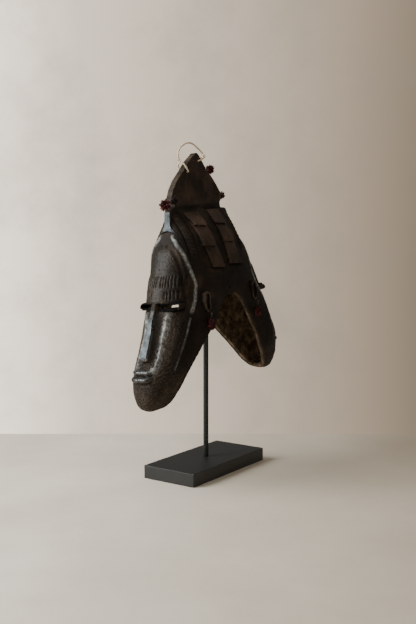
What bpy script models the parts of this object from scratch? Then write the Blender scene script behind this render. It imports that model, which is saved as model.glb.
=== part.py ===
"""Two-faced carved wooden helmet mask on its stand.

The mask is one carved block: a hollow dome that opens into two long faces, one towards -Y and one towards
+Y, under a flat upright crest. It carries trim plates, tassels and a hanging cord, and it rests on the
padded head of a steel post that is glued into a flat base. Lengths are in millimetres until they reach
Blender, which takes metres. The mask's pieces are written in the mask's own frame, whose origin lies
inside the dome, and an empty places that frame over the stand.
"""

import math

import bmesh
import bpy
from mathutils import Euler, Matrix, Vector

MM = 0.001
GAP = 0.3

# Stand
BASE_SIZE = (115.0, 243.0, 25.0)
BASE_EDGE = 0.8
POST_RADIUS = 5.0
POST_BOTTOM = 5.0
POST_TOP = 432.0
CAP_RADIUS = 9.0
CAP_HEIGHT = 26.0
CAP_SOCKET = 16.0
PAD_RADIUS = 17.0

# Place of the mask's frame over the stand: offset, then the lean forwards and sideways
MASK_PLACE = (-1.0, -16.0, 450.0)
MASK_LEAN = (4.6, -2.6, 0.0)

# Helmet, as (height, size) down the leg. NEAR is the -Y face and FAR the +Y face.
HALF_WIDTH = [
    (62, 12), (50, 19), (40, 27), (25, 37), (5, 46), (-20, 51), (-50, 55), (-90, 60), (-120, 63),
    (-140, 62.5), (-160, 59.5), (-180, 55.5), (-200, 50.5), (-220, 44.5), (-240, 38.5), (-260, 32),
    (-275, 25.5), (-284, 18), (-290, 8),
]
NEAR_REACH = [
    (62, 94), (50, 96), (33, 98), (12, 107), (-13, 120), (-40, 132), (-66, 142), (-92, 151),
    (-118, 159), (-150, 169), (-186, 187), (-222, 209), (-246, 219), (-268, 220), (-280, 215),
    (-290, 203),
]
FAR_REACH = [
    (62, 84), (50, 88), (25, 88), (5, 89), (-10, 99), (-38, 120), (-70, 140), (-98, 156),
    (-126, 169), (-164, 190), (-203, 208), (-240, 216), (-262, 210), (-276, 202), (-290, 190),
]
WIDEST_AT = [
    (62, 4), (-40, 5), (-80, 15), (-105, 30), (-120, 44), (-140, 66), (-160, 83), (-180, 101),
    (-200, 118), (-220, 134), (-240, 148), (-260, 160), (-275, 168), (-290, 176),
]
SQUARENESS = [
    (62, 2.2), (25, 2.7), (0, 3.0), (-40, 2.7), (-100, 2.2), (-180, 2.2), (-220, 2.6), (-290, 2.6),
]
# Edge of the arch between the legs, as (distance from the middle, height)
ARCH = [
    (0, -105), (18, -106), (28, -111.5), (37, -120), (53, -140), (69, -160), (87, -180), (105, -200),
    (121, -220), (136, -240), (150, -260), (163, -275), (176, -287), (196, -303), (240, -335),
]
HELMET_TOP = 60.0
EYE_HEIGHT = -109.0
BROW_HEIGHT = -88.0
BROW_HALF = (31.0, 20.0, 15.0)
BROW_PROUD = 3.0
EYE_PLACE = 28.0
EYE_CUT = 72.0
EYE_OUTLINE = (
    (-13.0, -2.4), (-9.0, -4.3), (9.0, -4.4), (13.5, -2.6),
    (13.5, 2.6), (9.0, 4.4), (-9.0, 4.2), (-13.0, 2.0),
)
EYE_CUT_BEHIND = 13.0
# Eyelids: half-sizes, turn towards the side, distance across the face and depth behind its front
LID_HALF = (15.5, 13.0, 8.0)
LID_TURN = 36.0
LID_PLACE = 30.0
LID_BEHIND = 19.5
# Lips as (name, height, half-width), and their half-thickness outwards and in height
LIPS = (("upper", -216.5, 17.0), ("lower", -227.0, 15.0))
LIP_OUT = 12.0
LIP_HALF = 6.6
LIP_BEHIND = 6.0
LEG_BOTTOM = -290.0
FAR_LEG_SHORTER = 4.0
WALL = 11.0
CHIN_WALL = 12.0
CEILING_STEPS = (-26, -14, -7, -3)

# Crest outline as (y, z), from the near foot over the tip to the far foot
CREST = [
    (-60, 30), (-99.8, 30), (-98.5, 44), (-97, 57), (-91, 63), (-80, 65), (-80, 72), (-90, 76),
    (-88, 83), (-81, 97), (-67, 114), (-43, 132), (-27, 147), (-12, 156), (-1, 162.5), (3, 163),
    (8, 159), (16, 149), (28, 134), (48, 115), (60, 101), (72, 85), (74, 76), (66, 68), (66, 57),
    (84, 54), (90, 44), (91, 30), (60, 30),
]
CREST_HALF = 6.5

# Hanging cord, as (y, z) in the plane of the crest
CORD_RADIUS = 1.4
CORD_HOLE_RADIUS = 2.6
NEAR_CORD_HOLE = (-33.0, 128.0)
NEAR_CORD_PIVOT = (-47.5, 150.0)
FAR_CORD_HOLE = (5.0, 148.0)
FAR_CORD_PIVOT = (33.5, 156.5)
NEAR_KNOT_RADIUS = 2.4
FAR_KNOT_RADIUS = 3.4
CORD_ROUTE = [
    (-48.6, 153.0), (-49.2, 157.0), (-48.0, 164.0), (-43.0, 171.0), (-33.0, 177.0), (-20.0, 181.0),
    (-7.0, 181.5), (6.0, 177.0), (18.0, 170.0), (27.0, 164.0), (31.0, 160.5),
]

# Crest tassels: name, hole in the crest as (y, z), centre of the ball as (x, y, z), ball radius
TIE_RADIUS = 0.8
TIE_HOLE_RADIUS = 1.7
CREST_TASSELS = (
    ("near_crest", (-80.0, 85.0), (4.0, -107.0, 70.0), 10.0),
    ("upper_far_crest", (21.0, 129.0), (3.0, 46.0, 131.0), 9.5),
    ("lower_far_crest", (62.0, 84.0), (-3.0, 86.0, 80.0), 7.5),
)

# Ear tassels: size, and the ears' places on the side walls as distance from the middle
EAR_PLACES = (("near", -1, 83.0), ("far", 1, 78.0))
EAR_HEIGHT = -108.0
EAR_FACE = 65.5
EAR_DEPTH = 12.0
EAR_OUTLINE = ((-9, 13), (-2, 19), (6, 15), (10, 2), (8, -12), (2, -20), (-2, -20), (-8, -13))
EAR_LOBE = 20.0
EAR_TIE_RADIUS = 1.6
EAR_TIE_DROP = 6.0
EAR_TASSEL_HALF = (7.0, 7.0, 10.5)

# Sheet metal trim on the crest's feet and the noses
SHEET = 1.0
SHEET_GAP = 0.5
PLATE_ROWS = ((57, 5.8), (44, 6.0), (33, 6.2), (28, 8.5), (23, 13.0), (19, 17.0))
NOSE_PLATE_ROWS = ((-128, 4.4), (-150, 5.0), (-175, 6.2), (-192, 7.0))

FACE_SHIFT = -3.0
NOSE_ROWS = ((-92, 5.0, 9.0), (-112, 4.5, 7.0), (-150, 7.0, 8.0), (-192, 9.0, 9.5), (-198, 8.5, 8.0))
SIDES = (("near", -1), ("far", 1))

# Inner edges of a leg's cross-section: how deep its back curves, straighter above the blend's heights
BACK_REACH = 55.0
BACK_STRAIGHT = 400.0
BACK_BLEND = (-140.0, -60.0)
BACK_INSET = 18.0
ARC_STEPS = 16

# Shingles of the neck cloth on each side wall: heights of each row's edges, then each column's middles
SHINGLE_ROWS = ((56.0, 28.0), (36.0, -8.0), (0.0, -50.0))
SHINGLE_COLUMNS = (("near", -42.0, -30.0), ("far", 26.0, 28.0))
SHINGLE_WIDTH = 30.0
SHINGLE_ROOT = 8.0
SHINGLE_PROUD = (1.5, 4.5)


def along(table, height):
    """Value of a (height, value) table, smooth between its points."""
    points = sorted(table)
    if height <= points[0][0]:
        return float(points[0][1])
    for index in range(len(points) - 1):
        (z0, v0), (z1, v1) = points[index], points[index + 1]
        if height <= z1:
            before = points[max(index - 1, 0)]
            after = points[min(index + 2, len(points) - 1)]
            step = z1 - z0
            t = (height - z0) / step
            start = (v1 - before[1]) / (z1 - before[0]) * step
            end = (after[1] - v0) / (after[0] - z0) * step
            return (
                (2 * t**3 - 3 * t**2 + 1) * v0
                + (t**3 - 2 * t**2 + t) * start
                + (3 * t**2 - 2 * t**3) * v1
                + (t**3 - t**2) * end
            )
    return float(points[-1][1])


def clear_scene():
    for item in list(bpy.data.objects):
        bpy.data.objects.remove(item, do_unlink=True)


def material(name, colour, roughness, metallic=0.0):
    found = bpy.data.materials.get(name)
    if found:
        return found
    made = bpy.data.materials.new(name)
    made.use_nodes = True
    shader = made.node_tree.nodes["Principled BSDF"]
    shader.inputs["Base Color"].default_value = (*colour, 1.0)
    shader.inputs["Roughness"].default_value = roughness
    shader.inputs["Metallic"].default_value = metallic
    return made


def carved_wood():
    return material("carved_wood", (0.045, 0.033, 0.024), 0.42)


def black_steel():
    return material("black_steel", (0.02, 0.02, 0.02), 0.5, 0.6)


def painted_wood():
    return material("painted_wood", (0.022, 0.024, 0.023), 0.55)


def grey_sheet():
    return material("grey_sheet", (0.3, 0.33, 0.34), 0.4, 0.8)


def red_wool():
    return material("red_wool", (0.12, 0.012, 0.012), 0.95)


def pale_fibre():
    return material("pale_fibre", (0.42, 0.34, 0.2), 0.9)


def brown_fibre():
    return material("brown_fibre", (0.2, 0.12, 0.06), 0.9)


def felt():
    return material("felt", (0.06, 0.06, 0.06), 1.0)


def mesh_object(name, bm, finish=None, parent=None, smooth=None):
    """New object from bm, whose coordinates are millimetres in the parent's frame."""
    bmesh.ops.recalc_face_normals(bm, faces=bm.faces)
    bmesh.ops.scale(bm, vec=(MM, MM, MM), verts=bm.verts)
    mesh = bpy.data.meshes.new(name)
    bm.to_mesh(mesh)
    bm.free()
    if smooth is not None:
        mesh.shade_smooth()
        mesh.set_sharp_from_angle(angle=math.radians(smooth))
    made = bpy.data.objects.new(name, mesh)
    bpy.context.scene.collection.objects.link(made)
    if finish:
        mesh.materials.append(finish)
    made.parent = parent
    return made


def empty(name, place, parent=None, turn=(0.0, 0.0, 0.0)):
    made = bpy.data.objects.new(name, None)
    bpy.context.scene.collection.objects.link(made)
    made.location = Vector(place) * MM
    made.rotation_euler = Euler([math.radians(angle) for angle in turn])
    made.parent = parent
    return made


def mask_matrix():
    """The mask's frame in the stand's frame, in millimetres."""
    lean = Euler([math.radians(angle) for angle in MASK_LEAN])
    return Matrix.Translation(Vector(MASK_PLACE)) @ lean.to_matrix().to_4x4()


def hide(cutter):
    cutter.hide_render = True
    cutter.display_type = "WIRE"
    return cutter


def boolean(target, other, operation):
    step = target.modifiers.new(other.name, "BOOLEAN")
    step.operation = operation
    step.solver = "EXACT"
    step.object = hide(other)


def skin(rings, bm=None):
    """Closed body through equal rings of points, capped at both ends."""
    bm = bm or bmesh.new()
    loops = [[bm.verts.new(point) for point in ring] for ring in rings]
    for low, high in zip(loops, loops[1:]):
        for index in range(len(low)):
            after = (index + 1) % len(low)
            bm.faces.new((low[index], low[after], high[after], high[index]))
    bm.faces.new(loops[0][::-1])
    bm.faces.new(loops[-1])
    return bm


def prism(outline, depth, axis="X", centre=0.0):
    """Body of an outline extruded both ways along an axis by half of depth."""
    rings = []
    for end in (-0.5, 0.5):
        offset = centre + end * depth
        if axis == "X":
            rings.append([(offset, u, v) for u, v in outline])
        elif axis == "Y":
            rings.append([(u, offset, v) for u, v in outline])
        else:
            rings.append([(u, v, offset) for u, v in outline])
    return skin(rings)


def circle(radius, count, centre=(0.0, 0.0)):
    return [
        (
            centre[0] + radius * math.cos(2 * math.pi * index / count),
            centre[1] + radius * math.sin(2 * math.pi * index / count),
        )
        for index in range(count)
    ]


# Stand


def make_base():
    width, length, height = BASE_SIZE
    bm = bmesh.new()
    bmesh.ops.create_cube(bm, size=1.0)
    bmesh.ops.scale(bm, vec=BASE_SIZE, verts=bm.verts)
    bmesh.ops.translate(bm, vec=(0, 0, height / 2), verts=bm.verts)
    bmesh.ops.bevel(bm, geom=bm.edges[:], offset=BASE_EDGE, segments=2, affect="EDGES", profile=0.5)
    base = mesh_object("base_block", bm, painted_wood())
    depth = height - POST_BOTTOM + GAP
    bore = prism(circle(POST_RADIUS + GAP, 24), 2 * depth, "Z", height)
    boolean(base, mesh_object("base_bore", bore), "DIFFERENCE")
    return base


def make_post():
    rings = [
        [(x, y, z) for x, y in circle(radius, 24)]
        for radius, z in (
            (POST_RADIUS - 0.6, POST_BOTTOM),
            (POST_RADIUS, POST_BOTTOM + 0.6),
            (POST_RADIUS, POST_TOP - 1.0),
            (POST_RADIUS - 1.0, POST_TOP),
        )
    ]
    return mesh_object("post", skin(rings), black_steel(), smooth=40)


def make_cap():
    """Steel cap that turns on the post's top."""
    socket_top = POST_TOP + GAP
    bottom = socket_top - CAP_SOCKET
    top = bottom + CAP_HEIGHT
    bore = POST_RADIUS + GAP
    outline = [
        (0.0, socket_top),
        (bore, socket_top),
        (bore, bottom),
        (CAP_RADIUS - 1.0, bottom),
        (CAP_RADIUS, bottom + 1.0),
        (CAP_RADIUS, top - 1.0),
        (CAP_RADIUS - 1.0, top),
        (0.0, top),
    ]
    bm = bmesh.new()
    verts = [bm.verts.new((r, 0.0, z)) for r, z in outline]
    edges = [bm.edges.new(pair) for pair in zip(verts, verts[1:])]
    bmesh.ops.spin(
        bm, geom=verts + edges, cent=(0, 0, 0), axis=(0, 0, 1), angle=2 * math.pi, steps=32
    )
    bmesh.ops.remove_doubles(bm, verts=bm.verts, dist=0.001)
    return mesh_object("swivel_cap", bm, black_steel(), smooth=40)


# Helmet


def section(height, inset):
    """Ring of the helmet's outline at a height, inset from the surface, in the order +x, near, -x, far."""
    half = along(HALF_WIDTH, height) - inset
    power = along(SQUARENESS, height)
    centre = along(WIDEST_AT, height)
    low, high = BACK_BLEND
    taper = min(max((height - low) / (high - low), 0), 1)
    inner_reach = BACK_REACH + BACK_STRAIGHT * taper * taper * (3 - 2 * taper)
    inner = max(0.5 * centre, centre - BACK_INSET)
    narrowed = half * (1 - ((centre - inner) / inner_reach) ** power) ** (1 / power)
    ring = []
    for side, table in ((-1, NEAR_REACH), (1, FAR_REACH)):
        depth = along(table, height) - inset - centre
        drop = FAR_LEG_SHORTER * height / LEG_BOTTOM if side > 0 and height < 0 else 0.0
        ring.append((-side * narrowed, side * inner, height + drop))
        for step in range(ARC_STEPS + 1):
            angle = math.pi * step / ARC_STEPS
            cosine, sine = math.cos(angle), math.sin(angle)
            x = -side * half * math.copysign(abs(cosine) ** (2 / power), cosine)
            y = centre + depth * abs(sine) ** (2 / power)
            ring.append((x, side * y, height + drop))
        ring.append((side * narrowed, side * inner, height + drop))
    return ring


def outer_body():
    heights = [
        62, 52, 40, 26, 12, 0, -14, -30, -50, -70, -90, -105, -120, -140, -160, -180, -200, -220, -240,
        -256, -268, -277, -283, -287, -290,
    ]
    return skin([section(height, 0.0) for height in reversed(heights)])


def inner_body():
    bottom = LEG_BOTTOM + CHIN_WALL
    heights = [bottom, -272, -262, -250, -230, -205, -180, -155, -130, -105, -80, -55, -38]
    heights.append(CEILING_STEPS[0])
    rings = [section(height, WALL) for height in heights]
    size = len(CEILING_STEPS)
    for index, height in enumerate(CEILING_STEPS[1:], 1):
        shrink = 1.0 - (index / size) ** 2 * 0.55
        ring = section(CEILING_STEPS[0], WALL)
        rings.append([(x * shrink, y * shrink, float(height)) for x, y, _ in ring])
    return skin(rings)


def arch_wedge():
    near = [(-distance, height) for distance, height in reversed(ARCH)]
    far = [(distance, height) for distance, height in ARCH[1:]]
    return prism(near + far, 200.0)


def reach(side, height):
    return along(NEAR_REACH if side < 0 else FAR_REACH, height)


def ellipse_block(side, centre, size, turn=0.0, segments=12, rings=8):
    """Ellipsoid at (x, outwards, z) of a face, with half-sizes in x, outwards and z."""
    bm = bmesh.new()
    bmesh.ops.create_uvsphere(bm, u_segments=segments, v_segments=rings, radius=1.0)
    bmesh.ops.scale(bm, vec=size, verts=bm.verts)
    bmesh.ops.rotate(bm, matrix=Matrix.Rotation(math.radians(turn), 3, "X"), verts=bm.verts)
    place_on_face(bm, side, centre)
    return bm


def place_on_face(bm, side, centre):
    """Moves a body drawn about the origin, outwards being -Y, to (x, outwards, z) of a face."""
    x, out, z = centre
    bmesh.ops.translate(bm, vec=(x, -out, z), verts=bm.verts)
    if side > 0:
        bmesh.ops.rotate(bm, matrix=Matrix.Rotation(math.pi, 3, "Z"), verts=bm.verts)


def make_nose(side):
    """Long nose with a flat front that ends squarely above the mouth."""
    rings = []
    for z, half, proud in reversed(NOSE_ROWS):
        front = reach(side, z) + proud
        back = reach(side, z) - 7.0
        rings.append(
            [
                (-half - 2.5, -back, z),
                (-half, -front + 1.0, z),
                (-half + 1.5, -front, z),
                (half - 1.5, -front, z),
                (half, -front + 1.0, z),
                (half + 2.5, -back, z),
            ]
        )
    bm = skin(rings)
    place_on_face(bm, side, (FACE_SHIFT, 0.0, 0.0))
    return bm


def make_lid(side, across):
    """Half-ring eyelid standing out from the face around the eye's slit."""
    bm = ellipse_block(-1, (0.0, 0.0, 0.0), LID_HALF, segments=14, rings=9)
    turn = Matrix.Rotation(math.radians(LID_TURN * across), 3, "Z")
    bmesh.ops.rotate(bm, matrix=turn, verts=bm.verts)
    centre = (FACE_SHIFT + across * LID_PLACE, reach(side, EYE_HEIGHT) - LID_BEHIND, EYE_HEIGHT)
    place_on_face(bm, side, centre)
    return bm


def make_eye_cutter(side, across):
    """Eye slit through the wall. It runs level, whatever the lean of the mask."""
    bm = prism(EYE_OUTLINE, EYE_CUT, "Y")
    if side > 0:
        bmesh.ops.rotate(bm, matrix=Matrix.Rotation(math.pi, 3, "Z"), verts=bm.verts)
    bmesh.ops.rotate(bm, matrix=mask_matrix().to_3x3().transposed(), verts=bm.verts)
    out = reach(side, EYE_HEIGHT) - EYE_CUT_BEHIND
    place = (-side * (FACE_SHIFT + across * EYE_PLACE), side * out, EYE_HEIGHT)
    bmesh.ops.translate(bm, vec=place, verts=bm.verts)
    return bm


def make_shingle(side_x, row, y_high, y_low):
    """One shingle of the carved neck cloth on a side wall, thicker at its lower edge."""
    rings = []
    for z, y, proud in zip(SHINGLE_ROWS[row], (y_high, y_low), SHINGLE_PROUD):
        surface = along(HALF_WIDTH, z)
        left = y - SHINGLE_WIDTH / 2
        right = y + SHINGLE_WIDTH / 2
        root = side_x * (surface - SHINGLE_ROOT)
        face = side_x * (surface + proud)
        rings.append([(root, left, z), (face, left, z), (face, right, z), (root, right, z)])
    return skin(rings[::-1])


def make_ear(side_x, side, out):
    """Raised D-shaped ear on the side wall, beside the eye."""
    bm = prism([(side * y, z) for y, z in EAR_OUTLINE], EAR_DEPTH, "X")
    place = (side_x * (EAR_FACE - EAR_DEPTH / 2), side * out, EAR_HEIGHT)
    bmesh.ops.translate(bm, vec=place, verts=bm.verts)
    return bm


def carve_details(helmet):
    """Unions and cuts that turn the plain shell into the two faces, their ears and the neck cloth."""
    for label, side in SIDES:
        boolean(helmet, mesh_object(f"{label}_nose_form", make_nose(side)), "UNION")
        centre = (FACE_SHIFT, reach(side, BROW_HEIGHT) - BROW_HALF[1] + BROW_PROUD, BROW_HEIGHT)
        brow = ellipse_block(side, centre, BROW_HALF, segments=20, rings=10)
        boolean(helmet, mesh_object(f"{label}_brow_form", brow), "UNION")
        for lip, z, half in LIPS:
            centre = (FACE_SHIFT, reach(side, z) - LIP_BEHIND, z)
            form = ellipse_block(side, centre, (half, LIP_OUT, LIP_HALF))
            boolean(helmet, mesh_object(f"{label}_{lip}_lip_form", form), "UNION")
        for across in (-1, 1):
            lid = mesh_object(f"{label}_lid_form_{across}", make_lid(side, across))
            boolean(helmet, lid, "UNION")
        for across in (-1, 1):
            cutter = make_eye_cutter(side, across)
            boolean(helmet, mesh_object(f"{label}_eye_cutter_{across}", cutter), "DIFFERENCE")
    for side_x in (-1, 1):
        for column, high, low in SHINGLE_COLUMNS:
            for row in range(len(SHINGLE_ROWS)):
                y_high = high * (1 - row / 8)
                form = make_shingle(side_x, row, y_high, y_high + (low - high) * 0.3)
                boolean(helmet, mesh_object(f"shingle_{side_x}_{column}_{row}", form), "UNION")
        for label, side, out in EAR_PLACES:
            form = make_ear(side_x, side, out)
            boolean(helmet, mesh_object(f"{label}_ear_form_{side_x}", form), "UNION")


def make_helmet(mask):
    helmet = mesh_object("carved_helmet", outer_body(), carved_wood(), mask, smooth=35)
    boolean(helmet, mesh_object("arch_wedge", arch_wedge()), "DIFFERENCE")
    crest = prism(CREST, 2 * CREST_HALF)
    boolean(helmet, mesh_object("crest_form", crest), "UNION")
    carve_details(helmet)
    boolean(helmet, mesh_object("hollow", inner_body()), "DIFFERENCE")
    holes = [(*NEAR_CORD_HOLE, CORD_HOLE_RADIUS), (*FAR_CORD_HOLE, CORD_HOLE_RADIUS)]
    holes += [(*hole, TIE_HOLE_RADIUS) for _, hole, _, _ in CREST_TASSELS]
    for index, (y, z, radius) in enumerate(holes):
        cutter = prism(circle(radius, 16, (y, z)), 40.0)
        boolean(helmet, mesh_object(f"crest_hole_{index}", cutter), "DIFFERENCE")
    for form in list(bpy.data.objects):
        if form.hide_render and form.parent is None:
            if form.name != "base_bore":
                form.parent = mask
    return helmet


# Trim


def front_of(side, x, z):
    """How far out the face's surface lies at (x, z)."""
    half = along(HALF_WIDTH, z)
    power = along(SQUARENESS, z)
    centre = along(WIDEST_AT, z)
    return centre + (reach(side, z) - centre) * (1 - (abs(x) / half) ** power) ** (1 / power)


def foot_of_crest(side, z):
    """How far out the crest's foot lies at a height."""
    if side < 0:
        return 97.0 + max(57 - z, 0) * 0.115
    return 91.0 if z < 44 else 90.0


def sheet_body(rows):
    """Bent sheet from rows of (x, outwards, z) points along its back, thickened outwards."""
    bm = bmesh.new()
    back = [[bm.verts.new((x, -out, z)) for x, out, z in row] for row in rows]
    front = [[bm.verts.new((x, -out - SHEET, z)) for x, out, z in row] for row in rows]
    last = len(rows[0]) - 1
    for index in range(len(rows) - 1):
        for step in range(last):
            for grid in (back, front):
                one, two = grid[index], grid[index + 1]
                bm.faces.new((one[step], one[step + 1], two[step + 1], two[step]))
        for step in (0, last):
            inner, outer = back[index + 1][step], front[index + 1][step]
            bm.faces.new((back[index][step], inner, outer, front[index][step]))
    for index in (0, len(rows) - 1):
        for step in range(last):
            inner, outer = back[index][step + 1], front[index][step + 1]
            bm.faces.new((back[index][step], inner, outer, front[index][step]))
    return bm


def make_crest_plate(label, side, mask):
    """Metal strip over the crest's foot that flares out over the top of the forehead."""
    rows = []
    for z, half in PLATE_ROWS:
        z_here = z if side < 0 else min(z, 43)
        row = []
        for step in range(-4, 5):
            x = half * step / 4
            out = front_of(side, x, z_here)
            if abs(x) < CREST_HALF + 2.5 and z_here > 24:
                out = max(out, foot_of_crest(side, z_here))
            lift = (1 - abs(step / 4)) * 5.0 if z < 22 else 0.0
            row.append((x, out + SHEET_GAP, z_here + lift))
        rows.append(row)
    if side > 0:
        rows = rows[1:]
    bm = sheet_body(rows)
    place_on_face(bm, side, (0.0, 0.0, 0.0))
    return mesh_object(f"{label}_crest_plate", bm, grey_sheet(), mask, smooth=30)


def nose_front(side, z):
    for (z0, _, proud0), (z1, _, proud1) in zip(NOSE_ROWS, NOSE_ROWS[1:]):
        if z1 <= z <= z0:
            share = (z0 - z) / (z0 - z1)
            high = reach(side, z0) + proud0
            return high + (reach(side, z1) + proud1 - high) * share
    return reach(side, z)


def make_nose_plate(label, side, mask):
    rows = []
    for z, half in NOSE_PLATE_ROWS:
        out = nose_front(side, z) + SHEET_GAP - 0.1
        rows.append([(-half, out, z), (0.0, out, z), (half, out, z)])
    bm = sheet_body(rows)
    place_on_face(bm, side, (FACE_SHIFT, 0.0, 0.0))
    return mesh_object(f"{label}_nose_plate", bm, grey_sheet(), mask, smooth=30)


# Cords and tassels


def smooth_route(points, spacing):
    """Points at even spacing along a Catmull-Rom curve through the given ones."""
    points = [Vector(point) for point in points]
    ends = [points[0] * 2 - points[1], *points, points[-1] * 2 - points[-2]]
    dense = []
    for index in range(len(points) - 1):
        a, b, c, d = ends[index : index + 4]
        for step in range(24):
            t = step / 24
            bend = 2 * a - 5 * b + 4 * c - d
            twist = 3 * b - a - 3 * c + d
            dense.append(0.5 * (2 * b + (c - a) * t + bend * t**2 + twist * t**3))
    dense.append(points[-1])
    length = sum((q - p).length for p, q in zip(dense, dense[1:]))
    count = max(round(length / spacing), 2)
    even = [dense[0]]
    walked = 0.0
    for p, q in zip(dense, dense[1:]):
        stretch = (q - p).length
        while len(even) < count and walked + stretch >= length * len(even) / count - 1e-6:
            share = (length * len(even) / count - walked) / stretch
            even.append(p.lerp(q, share))
        walked += stretch
    even.append(dense[-1])
    return even


def tube(name, points, radius, finish, parent, closed=False):
    """Round cord through points in millimetres."""
    curve = bpy.data.curves.new(name, "CURVE")
    curve.dimensions = "3D"
    curve.bevel_depth = radius * MM
    curve.bevel_resolution = 2
    curve.use_fill_caps = not closed
    curve.materials.append(finish)
    line = curve.splines.new("POLY")
    line.points.add(len(points) - 1)
    for spot, point in zip(line.points, points):
        spot.co = (*(Vector(point) * MM), 1.0)
    line.use_cyclic_u = closed
    made = bpy.data.objects.new(name, curve)
    bpy.context.scene.collection.objects.link(made)
    made.parent = parent
    return made


def crest_edge(hole, direction):
    """Distance from a hole to the crest's edge along a direction in the plane of the crest."""
    nearest = 1000.0
    for (y0, z0), (y1, z1) in zip(CREST, CREST[1:]):
        run_y, run_z = y1 - y0, z1 - z0
        spread = direction[0] * run_z - direction[1] * run_y
        if abs(spread) < 1e-9:
            continue
        distance = ((y0 - hole[0]) * run_z - (z0 - hole[1]) * run_y) / spread
        share = ((y0 - hole[0]) * direction[1] - (z0 - hole[1]) * direction[0]) / spread
        if distance > 0 and 0 <= share <= 1:
            nearest = min(nearest, distance)
    return nearest


def make_lashing(name, hole, end, radius, finish, mask):
    """Loop of cord through a hole in the crest and over its edge, out to end."""
    start = Vector((0.0, *hole))
    direction = Vector((0.0, *end)) - start
    length = direction.length
    direction.normalize()
    beside = CREST_HALF + GAP + radius + 0.2
    past = crest_edge(hole, direction.yz) + radius + 0.5
    shape = (
        (-beside + radius, 0.0), (beside - radius, 0.0), (beside, radius), (beside, past),
        (beside * 0.7, past + (length - past) * 0.6), (0.0, length),
        (-beside * 0.7, past + (length - past) * 0.6), (-beside, past), (-beside, radius),
    )
    points = [start + Vector((x, 0, 0)) + direction * s for x, s in shape]
    return tube(name, points, radius, finish, mask, closed=True)


def knot_body(radius, stretch=1.0, seed=0):
    """Rough round knot, deterministic for a given seed."""
    bm = bmesh.new()
    bmesh.ops.create_icosphere(bm, subdivisions=2, radius=radius)
    for vert in bm.verts:
        direction = vert.co.normalized()
        bump = math.sin(5 * direction.x + seed) * math.sin(4 * direction.y + 2 * seed)
        bump *= math.cos(5 * direction.z)
        vert.co = direction * radius * (1 + 0.06 * bump)
        vert.co.z *= stretch
    return bm


def make_hanging_cord(mask):
    """Arch of cord between two knots, which swings about the line through them."""
    pivot_place = ((0.0, *NEAR_CORD_PIVOT), (0.0, *FAR_CORD_PIVOT))
    pivot = empty("cord_swing_axis", pivot_place[0], mask)
    finish = pale_fibre()
    route = [Vector((0.0, y, z)) - Vector(pivot_place[0]) for y, z in CORD_ROUTE]
    tube("hanging_cord", smooth_route(route, 5.0), CORD_RADIUS, finish, pivot)
    near = mesh_object("near_cord_knot", knot_body(NEAR_KNOT_RADIUS), finish, pivot, smooth=60)
    far = mesh_object("far_cord_knot", knot_body(FAR_KNOT_RADIUS, 1.0, 1), finish, pivot, smooth=60)
    far.location = (Vector(pivot_place[1]) - Vector(pivot_place[0])) * MM
    near.location = (0.0, 0.0, 0.0)
    for label, hole, place, knot in (
        ("near", NEAR_CORD_HOLE, NEAR_CORD_PIVOT, NEAR_KNOT_RADIUS),
        ("far", FAR_CORD_HOLE, FAR_CORD_PIVOT, FAR_KNOT_RADIUS),
    ):
        gap = Vector(place) - Vector(hole)
        end = Vector(hole) + gap * (1 - (knot * 1.06 + CORD_RADIUS + GAP) / gap.length)
        make_lashing(f"{label}_cord_lashing", hole, end, CORD_RADIUS, finish, mask)


def make_crest_tassel(name, hole, centre, radius, mask):
    """Wool ball on a tie that runs through the crest. It gives a little about the tie's outer end."""
    start = Vector((0.0, *hole))
    middle = Vector(centre)
    gap = middle - start
    end = start + gap * (1 - (radius * 1.06 + TIE_RADIUS + GAP) / gap.length)
    make_lashing(f"{name}_tie", hole, (end.y, end.z), TIE_RADIUS, brown_fibre(), mask)
    pivot = empty(f"{name}_tassel_axis", end, mask)
    ball = mesh_object(f"{name}_tassel", knot_body(radius, 1.0, 2), red_wool(), pivot, smooth=60)
    ball.location = (middle - end) * MM


def make_ear_tassel(label, side_x, side, out, mask):
    """Knotted string under an ear and the tassel that swings freely from its end."""
    frame = mask_matrix()
    lowest = Vector((side_x * (EAR_FACE - 1.0), side * out, EAR_HEIGHT - EAR_LOBE))
    top = frame @ lowest + Vector((side_x * 5.5, 0.0, -GAP - EAR_TIE_RADIUS))
    hand = "right" if side_x > 0 else "left"
    profile = [(0.0, EAR_TIE_RADIUS), (EAR_TIE_RADIUS * 0.8, 0.8), (EAR_TIE_RADIUS, -0.3)]
    profile += [(EAR_TIE_RADIUS * 0.7, -1.4), (0.6, -2.0), (0.6, -EAR_TIE_DROP), (0.0, -EAR_TIE_DROP)]
    bm = bmesh.new()
    verts = [bm.verts.new((r, 0.0, z)) for r, z in profile]
    edges = [bm.edges.new(pair) for pair in zip(verts, verts[1:])]
    bmesh.ops.spin(
        bm, geom=verts + edges, cent=(0, 0, 0), axis=(0, 0, 1), angle=2 * math.pi, steps=10
    )
    bmesh.ops.remove_doubles(bm, verts=bm.verts, dist=0.001)
    tie = mesh_object(f"{label}_{hand}_ear_tie", bm, brown_fibre(), smooth=60)
    tie.location = top * MM
    pivot = empty(f"{label}_{hand}_ear_tassel_axis", top - Vector((0, 0, EAR_TIE_DROP + GAP)))
    ball = knot_body(1.0, 1.0, 3)
    bmesh.ops.scale(ball, vec=EAR_TASSEL_HALF, verts=ball.verts)
    tassel = mesh_object(f"{label}_{hand}_ear_tassel", ball, red_wool(), pivot, smooth=60)
    tassel.location = (0.0, 0.0, -EAR_TASSEL_HALF[2] * 1.06 * MM)


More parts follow.
